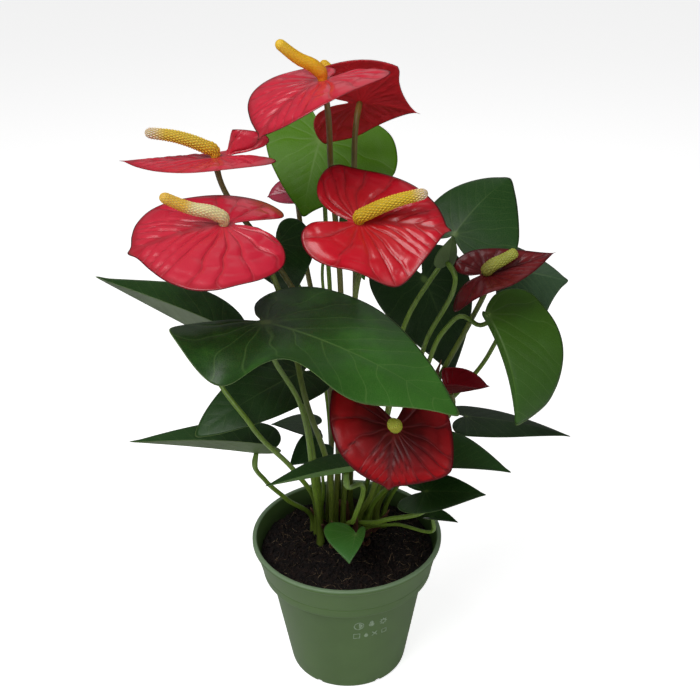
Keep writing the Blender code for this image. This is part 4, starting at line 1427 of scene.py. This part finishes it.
def add_peat(name, material):
    """The peat as a turned solid whose top rows follow the peat's height."""
    side = np.array([
        (0, SOIL_BOX[0].z), (BASE_RADIUS - 3.5 * MM, SOIL_BOX[0].z),
        (BODY_TOP_RADIUS - POT_WALL - MM, COLLAR_FOOT),
        (COLLAR_FOOT_RADIUS - POT_WALL - MM, COLLAR_FOOT + 3 * MM),
    ])
    share = np.linspace(1, 0, PEAT_RINGS)[:, None]
    top = np.concatenate([share * (SOIL_RADIUS - EDGE_GAP), np.full((PEAT_RINGS, 1), SOIL_TOP)], axis=1)
    grid = turned_grid(np.concatenate([side, top]), PEAT_COLUMNS)
    upper = slice(len(side), None)
    grid[upper, :, 2] = peat_height(grid[upper, :, 0], grid[upper, :, 1])
    return add_closed_grid(name, grid, material)


def peat_material(name, settings, lighten):
    """Moist peat: near black, with brown lumps and a little wet gleam."""
    dark = tinted(settings.peat_colour, lighten)
    graph = Graph(name)
    lumps = graph.noise(260, 5, 0.7)
    drift = graph.noise(45, 3, 0.5)
    colour = graph.mix(graph.step(lumps, 0.42, 0.75), dark, tinted(PEAT_BROWN, lighten))
    colour = graph.mix(graph.step(drift, 0.55, 0.8) * 0.4, colour, PEAT_DRIFT)
    return graph.finish(
        Base_Color=colour, Roughness=0.72 + lumps * 0.25, Normal=graph.bump(lumps, 0.7, 0.0012),
        Specular_IOR_Level=0.3,
    )


def scatter(count, random, inset):
    """count places on the peat, evenly over the disc: the radius goes with a random number's square root."""
    radius = (SOIL_RADIUS - inset) * np.sqrt(random.random(count))
    angle = random.uniform(0, TAU, count)
    x, y = radius * np.cos(angle), radius * np.sin(angle)
    return np.stack([x, y, peat_height(x, y)], axis=-1)


def random_turns(count, random):
    """count rotation matrices, each from two random directions made square."""
    first = unit(random.normal(size=(count, 3)))
    second = unit(np.cross(first, random.normal(size=(count, 3))))
    return np.stack([first, second, np.cross(first, second)], axis=-1)


def add_crumbs(name, count, material):
    """Loose crumbs: a lump for each place, stretched, turned and dented at random.

    Its points are two rings of five at 35 degrees under and over its middle, and a pole at each end.
    """
    random = np.random.default_rng(CRUMB_SEED)
    sides = 5
    latitude = np.radians([-35, 35])[:, None]
    longitude = np.linspace(0, TAU, sides, endpoint=False)[None]
    rings = np.stack([
        np.cos(latitude) * np.cos(longitude), np.cos(latitude) * np.sin(longitude),
        np.sin(latitude) * np.ones(sides),
    ], axis=-1).reshape(-1, 3)
    lump = np.concatenate([[(0, 0, -1)], rings, [(0, 0, 1)]])
    low = 1 + np.arange(sides)
    low_beside = 1 + (np.arange(sides) + 1) % sides
    high, high_beside = low + sides, low_beside + sides
    faces = np.concatenate([
        np.stack([np.zeros(sides, int), low_beside, low], axis=1),
        np.stack([low, low_beside, high], axis=1),
        np.stack([low_beside, high_beside, high], axis=1),
        np.stack([high, high_beside, np.full(sides, len(lump) - 1)], axis=1),
    ])
    size = random.uniform(*CRUMB_SHARES, (count, 1, 1)) ** 2 * CRUMB_RADIUS
    stretch = random.uniform(*CRUMB_STRETCH, (count, 1, 3))
    dents = random.uniform(*CRUMB_DENTS, (count, len(lump), 1))
    local = lump[None] * dents * stretch * size
    points = local @ random_turns(count, random).transpose(0, 2, 1)
    places = scatter(count, random, CRUMB_INSET)
    points = points + places[:, None] + (0, 0, CRUMB_LIFT)
    corners = faces[None] + (np.arange(count) * len(lump))[:, None, None]
    return link_mesh(name, points.reshape(-1, 3), corners.ravel(), np.full(count * len(faces), 3), material)


def add_fibres(name, count, material):
    """Fine fibres: three-sided hairs along arcs that lie on the peat or rise a little from it."""
    random = np.random.default_rng(FIBRE_SEED)
    stations, sides = 7, 3
    start = scatter(count, random, FIBRE_INSET)
    heading = random.uniform(0, TAU, (count, 1))
    length = random.uniform(*FIBRE_LENGTHS, (count, 1)) * MM
    bend = random.normal(0, FIBRE_BEND, (count, 1))
    along = np.linspace(0, 1, stations)[None]
    turn = heading + bend * along
    x = start[:, :1] + length * np.cumsum(np.cos(turn), axis=1) / stations
    y = start[:, 1:2] + length * np.cumsum(np.sin(turn), axis=1) / stations
    inside = np.hypot(x, y).max(axis=1) < SOIL_RADIUS - FIBRE_MARGIN
    rise = random.uniform(*FIBRE_RISES, (count, 1)) * MM
    arch = np.sin(math.pi * along * random.uniform(0.4, 1.0, (count, 1)))
    path = np.stack([x, y, peat_height(x, y) + FIBRE_LIFT + rise * arch], axis=-1)[inside]
    count = len(path)
    thinning = (1.05 - along ** 2)[..., None]
    radius = random.uniform(*FIBRE_RADII, (count, 1, 1)) * MM * thinning
    tangent = unit(np.gradient(path, axis=1))
    across = unit(np.cross(tangent, (0, 0, 1)))
    upward = np.cross(across, tangent)
    angle = (np.arange(sides) * TAU / sides)[None, None, :, None]
    rings = path[:, :, None] + radius[..., None] * (
        np.cos(angle) * across[:, :, None] - np.sin(angle) * upward[:, :, None]
    )
    quads = grid_faces(stations, sides)
    step = stations * sides
    caps = np.array([[2, 1, 0], [step - 3, step - 2, step - 1]])
    offsets = (np.arange(count) * step)[:, None, None]
    corners = np.concatenate([(quads[None] + offsets).ravel(), (caps[None] + offsets).ravel()])
    sizes = np.concatenate([np.full(count * len(quads), 4), np.full(count * 2, 3)])
    return link_mesh(name, rings.reshape(-1, 3), corners, sizes, material)


def fibre_material():
    """Dry fibre: straw to brown, different from place to place."""
    graph = Graph("peat_fibre")
    tone = graph.noise(160, 2, 0.5)
    colour = graph.mix(graph.step(tone, 0.35, 0.65), FIBRE_BROWN, FIBRE_STRAW)
    return graph.finish(Base_Color=colour, Roughness=0.7 + tone * 0.2)


# The crown

SHEATH_PUFF = 0.3 * MM

# The rootstock: how far it is sunk, how much it narrows to the top, where its dome starts and how much of
# its section the dome closes, how fast its scars follow each other, and the height of its lumps and scars
ROOTSTOCK_SINK = 2 * MM
ROOTSTOCK_TAPER = 0.35
ROOTSTOCK_DOME = 0.85
DOME_CLOSING = 0.98
SCAR_LENGTH = 1.1 * MM
LUMP_HEIGHT = 0.5 * MM
LUMP_SHARE = 0.5
SCAR_SHARE = 0.25
LUMP_LENGTH = 5 * MM
LUMP_SEED = 61
ROOTSTOCK_ROWS = 40
ROOTSTOCK_COLUMNS = 48


class ANTHURIUM_OT_crown(bpy.types.Operator):
    """The rootstock and the papery sheaths round it."""

    bl_idname = "anthurium.crown"
    bl_label = "Crown and sheaths"

    def execute(self, context):
        material = sheath_material()
        crown = add_rootstock("rootstock", material)
        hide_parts("crown")
        for number, sheath in enumerate(SHEATHS):
            label = f"sheath_{number + 1}"
            item = add_blade(label, sheath, SHEATH_OUTLINE, LEAF_VEINS, SHEATH_PUFF, material)
        return {"FINISHED"}


def add_rootstock(name, material):
    """A knobbly post: a dome-topped turned form whose radius carries rings of scars and random lumps."""
    low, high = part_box("crown")
    centre = np.array([*CROWN_CENTRE, 0])
    radius = (high.x - low.x) / 2
    share = np.linspace(0, 1, ROOTSTOCK_ROWS)
    dome = np.sqrt(1 - smooth_step(ROOTSTOCK_DOME, 1.0, share) * DOME_CLOSING)
    profile = np.stack([
        radius * (1 - ROOTSTOCK_TAPER * share ** 2) * dome,
        low.z - ROOTSTOCK_SINK + share * (high.z - low.z + 1.5 * MM),
    ], axis=1)
    profile = np.concatenate([[(0, profile[0, 1])], profile, [(0, profile[-1, 1])]])
    grid = turned_grid(profile, ROOTSTOCK_COLUMNS)
    scars = SCAR_SHARE * np.sin(profile[:, 1] / SCAR_LENGTH)[:, None]
    lumps = (LUMP_SHARE * ripples(grid, LUMP_LENGTH, LUMP_SEED) + scars) * LUMP_HEIGHT
    off_axis = np.hypot(grid[..., 0], grid[..., 1]) > MM
    grid[..., :2] += unit(grid[..., :2]) * (lumps * off_axis)[..., None]
    facts = {"aside": np.arctan2(grid[..., 1], grid[..., 0]) / 3, "rim": np.zeros(grid.shape[:2])}
    return add_closed_grid(name, grid + centre, material, facts)


# Leaves and flowers

# The width in millimetres at and over which a leaf has its full quilting, and the radius of the small inner
# leaves' stalks as a share of the others'
FULL_PUFF_WIDTH = 60
INNER_STALK = 0.7


class ANTHURIUM_OT_leaves(bpy.types.Operator):
    """The leaf blades and the small leaves between the stems."""

    bl_idname = "anthurium.leaves"
    bl_label = "Leaf blades"

    def execute(self, context):
        puff = context.scene.anthurium_plant.leaf_puff
        for name, blade in {**LEAVES, **INNER_LEAVES}.items():
            size = min(1, blade.width / FULL_PUFF_WIDTH)
            item = add_blade(
                f"{name}_skin", blade, LEAF_OUTLINE, LEAF_VEINS, puff * size,
                leaf_material(f"{name}_green", LEAF_LOOKS[name]),
            )
            if name in LEAVES:
                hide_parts(f"{name}_blade")
        return {"FINISHED"}


class ANTHURIUM_OT_petioles(bpy.types.Operator):
    """The leaves' stalks."""

    bl_idname = "anthurium.petioles"
    bl_label = "Leaf stalks"

    def execute(self, context):
        radius = context.scene.anthurium_plant.petiole_radius
        material = stalk_material("petiole_green", *GREEN_STALK)
        for name, blade in {**LEAVES, **INNER_LEAVES}.items():
            thin = 1 if name in LEAVES else INNER_STALK
            item = add_stalk(f"{name}_stalk", blade, STALKS[name], radius * thin, PETIOLE_JOINT, material)
            if name in LEAVES:
                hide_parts(f"{name}_petiole")
        return {"FINISHED"}


class ANTHURIUM_OT_spathes(bpy.types.Operator):
    """The flowers' spathes."""

    bl_idname = "anthurium.spathes"
    bl_label = "Spathes"

    def execute(self, context):
        puff = context.scene.anthurium_plant.spathe_puff
        for name, blade in {**FLOWERS, **INNER_FLOWERS}.items():
            look = SPATHE_LOOKS[name]
            item = add_blade(
                f"{name}_bract", blade, SPATHE_OUTLINE, SPATHE_VEINS, puff * look.puff,
                spathe_material(f"{name}_red", look),
            )
            if name in FLOWERS:
                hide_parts(f"{name}_spathe")
        return {"FINISHED"}


class ANTHURIUM_OT_spikes(bpy.types.Operator):
    """The flower spikes."""

    bl_idname = "anthurium.spikes"
    bl_label = "Flower spikes"

    def execute(self, context):
        for name, (tip, bow) in SPADICES.items():
            look = SPIKE_LOOKS[name]
            item = add_spike(
                f"{name}_spike", FLOWERS[name], tip, bow, look.florets,
                spike_material(f"{name}_yellow", look),
            )
            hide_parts(f"{name}_spadix")
        return {"FINISHED"}


class ANTHURIUM_OT_peduncles(bpy.types.Operator):
    """The flowers' stalks."""

    bl_idname = "anthurium.peduncles"
    bl_label = "Flower stalks"

    def execute(self, context):
        radius = context.scene.anthurium_plant.peduncle_radius
        for name, blade in {**FLOWERS, **INNER_FLOWERS}.items():
            material = stalk_material(f"{name}_stalk_olive", *STALK_LOOKS[name])
            item = add_stalk(f"{name}_stalk", blade, STALKS[name], radius, PEDUNCLE_JOINT, material)
            if name in FLOWERS:
                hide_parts(f"{name}_peduncle")
        return {"FINISHED"}


# The stage

# How bright the room and the floor look to the camera, apart from the light they give
ROOM_BRIGHTNESS = 0.88
FLOOR_GLOW = 0.75
FLOOR_RADIUS = 9
FLOOR_LEVELS = (-4 * MM, -0.3 * MM)
FLOOR_COLUMNS = 64
FLOOR_LIGHT = (0.93, 0.93, 0.93)
FLOOR_DARK = (0.9, 0.9, 0.9)
BLACK = (0, 0, 0)
WHITE = (1, 1, 1)

# Each light's place and width, and the point that they face, in metres
KEY_LIGHT = ((-0.45, -0.55, 1.25), 0.9)
FILL_LIGHT = ((0.8, -0.9, 0.7), 0.8)
BACK_LIGHT = ((0.1, 0.9, 1.1), 0.8)
BACK_SHARE = 1 / 3
PLANT_MIDDLE = (0, 0, 0.2)

# The camera: its place in metres, how far it looks down and how far it is rolled in degrees, and its sensor
# and lens in millimetres
CAMERA_PLACE = (PLANT_SHIFT, -0.574, 0.513)
CAMERA_DOWN = 26.7
CAMERA_ROLL = -0.72
CAMERA_SENSOR = 36
CAMERA_LENS = 56.57


class ANTHURIUM_OT_stage(bpy.types.Operator):
    """A pale floor, soft light and the camera."""

    bl_idname = "anthurium.stage"
    bl_label = "Stage"

    def execute(self, context):
        settings = context.scene.anthurium_stage
        add_floor()
        context.scene.world = pale_room(settings.sky_strength)
        context.scene.view_settings.view_transform = "Standard"
        add_light("key", *KEY_LIGHT, settings.key_power)
        add_light("fill", *FILL_LIGHT, settings.fill_power)
        add_light("back", *BACK_LIGHT, settings.fill_power * BACK_SHARE)
        add_camera(context.scene)
        return {"FINISHED"}


def pale_room(strength):
    """A world that lights the plant softly and looks almost white itself."""
    world = bpy.data.worlds.new("pale_room")
    world.use_nodes = True
    tree = world.node_tree
    seen = tree.nodes.new("ShaderNodeLightPath").outputs["Is Camera Ray"]
    level = tree.nodes.new("ShaderNodeMapRange")
    level.inputs["To Min"].default_value = strength
    level.inputs["To Max"].default_value = ROOM_BRIGHTNESS
    sky = tree.nodes["Background"]
    sky.inputs["Color"].default_value = (*WHITE, 1)
    tree.links.new(seen, level.inputs["Value"])
    tree.links.new(level.outputs["Result"], sky.inputs["Strength"])
    return world


def add_floor():
    """A wide pale disc under the pot."""
    graph = Graph("floor_paper")
    grain = graph.noise(3, 2, 0.5)
    seen = Wire(graph, graph.node("ShaderNodeLightPath").outputs["Is Camera Ray"])
    material = graph.finish(
        Base_Color=graph.mix(grain * 0.1, FLOOR_LIGHT, FLOOR_DARK), Roughness=0.9,
        Specular_IOR_Level=0.1, Emission_Color=graph.mix(seen, BLACK, WHITE), Emission_Strength=FLOOR_GLOW,
    )
    bottom, top = FLOOR_LEVELS
    profile = np.array([(0, bottom), (FLOOR_RADIUS, bottom), (FLOOR_RADIUS, top), (0, top)])
    add_closed_grid("floor", turned_grid(profile, FLOOR_COLUMNS), material, rides=False)


def add_light(name, place, size, power):
    """A square soft light that faces the middle of the plant."""
    data = bpy.data.lights.new(name, "AREA")
    data.size = size
    data.energy = power
    item = bpy.data.objects.new(name, data)
    item.location = place
    item.rotation_euler = (Vector(PLANT_MIDDLE) - Vector(place)).to_track_quat("-Z", "Y").to_euler()
    bpy.context.scene.collection.objects.link(item)


def add_camera(scene):
    """The camera: in front and above, looking down at the plant."""
    data = bpy.data.cameras.new("camera")
    data.sensor_width = CAMERA_SENSOR
    data.lens = CAMERA_LENS
    data.clip_start = 10 * MM
    item = bpy.data.objects.new("camera", data)
    item.location = CAMERA_PLACE
    tilt = Matrix.Rotation(math.radians(90 - CAMERA_DOWN), 3, "X")
    item.rotation_euler = (tilt @ Matrix.Rotation(math.radians(CAMERA_ROLL), 3, "Z")).to_euler()
    scene.collection.objects.link(item)
    scene.camera = item


# The panel, and the steps in order


class ANTHURIUM_PT_panel(bpy.types.Panel):
    """The plant's settings and steps."""

    bl_idname = "ANTHURIUM_PT_panel"
    bl_label = "Potted anthurium"
    bl_space_type = "VIEW_3D"
    bl_region_type = "UI"
    bl_category = "Plant"

    def draw(self, context):
        for group in SETTINGS:
            settings = getattr(context.scene, group)
            for key in settings.bl_rna.properties.keys():
                if key not in ("rna_type", "name"):
                    self.layout.prop(settings, key)
        for step in STEPS:
            self.layout.operator(step.bl_idname)


SETTINGS = {
    "anthurium_plant": PlantSettings,
    "anthurium_pot": PotSettings,
    "anthurium_stage": StageSettings,
}
STEPS = (
    ANTHURIUM_OT_pot, ANTHURIUM_OT_peat, ANTHURIUM_OT_crown, ANTHURIUM_OT_leaves, ANTHURIUM_OT_petioles,
    ANTHURIUM_OT_spathes, ANTHURIUM_OT_spikes, ANTHURIUM_OT_peduncles, ANTHURIUM_OT_stage,
)


def register():
    """Add the settings, the operators and the panel to Blender."""
    for group, kind in SETTINGS.items():
        bpy.utils.register_class(kind)
        setattr(bpy.types.Scene, group, PointerProperty(type=kind))
    for kind in (*STEPS, ANTHURIUM_PT_panel):
        bpy.utils.register_class(kind)


def unregister():
    """Take them away again."""
    for kind in (ANTHURIUM_PT_panel, *reversed(STEPS)):
        bpy.utils.unregister_class(kind)
    for group, kind in reversed(SETTINGS.items()):
        delattr(bpy.types.Scene, group)
        bpy.utils.unregister_class(kind)


def main():
    """Build every piece in order."""
    register()
    for step in STEPS:
        getattr(bpy.ops.anthurium, step.bl_idname.split(".")[1])()


if __name__ == "__main__":
    main()
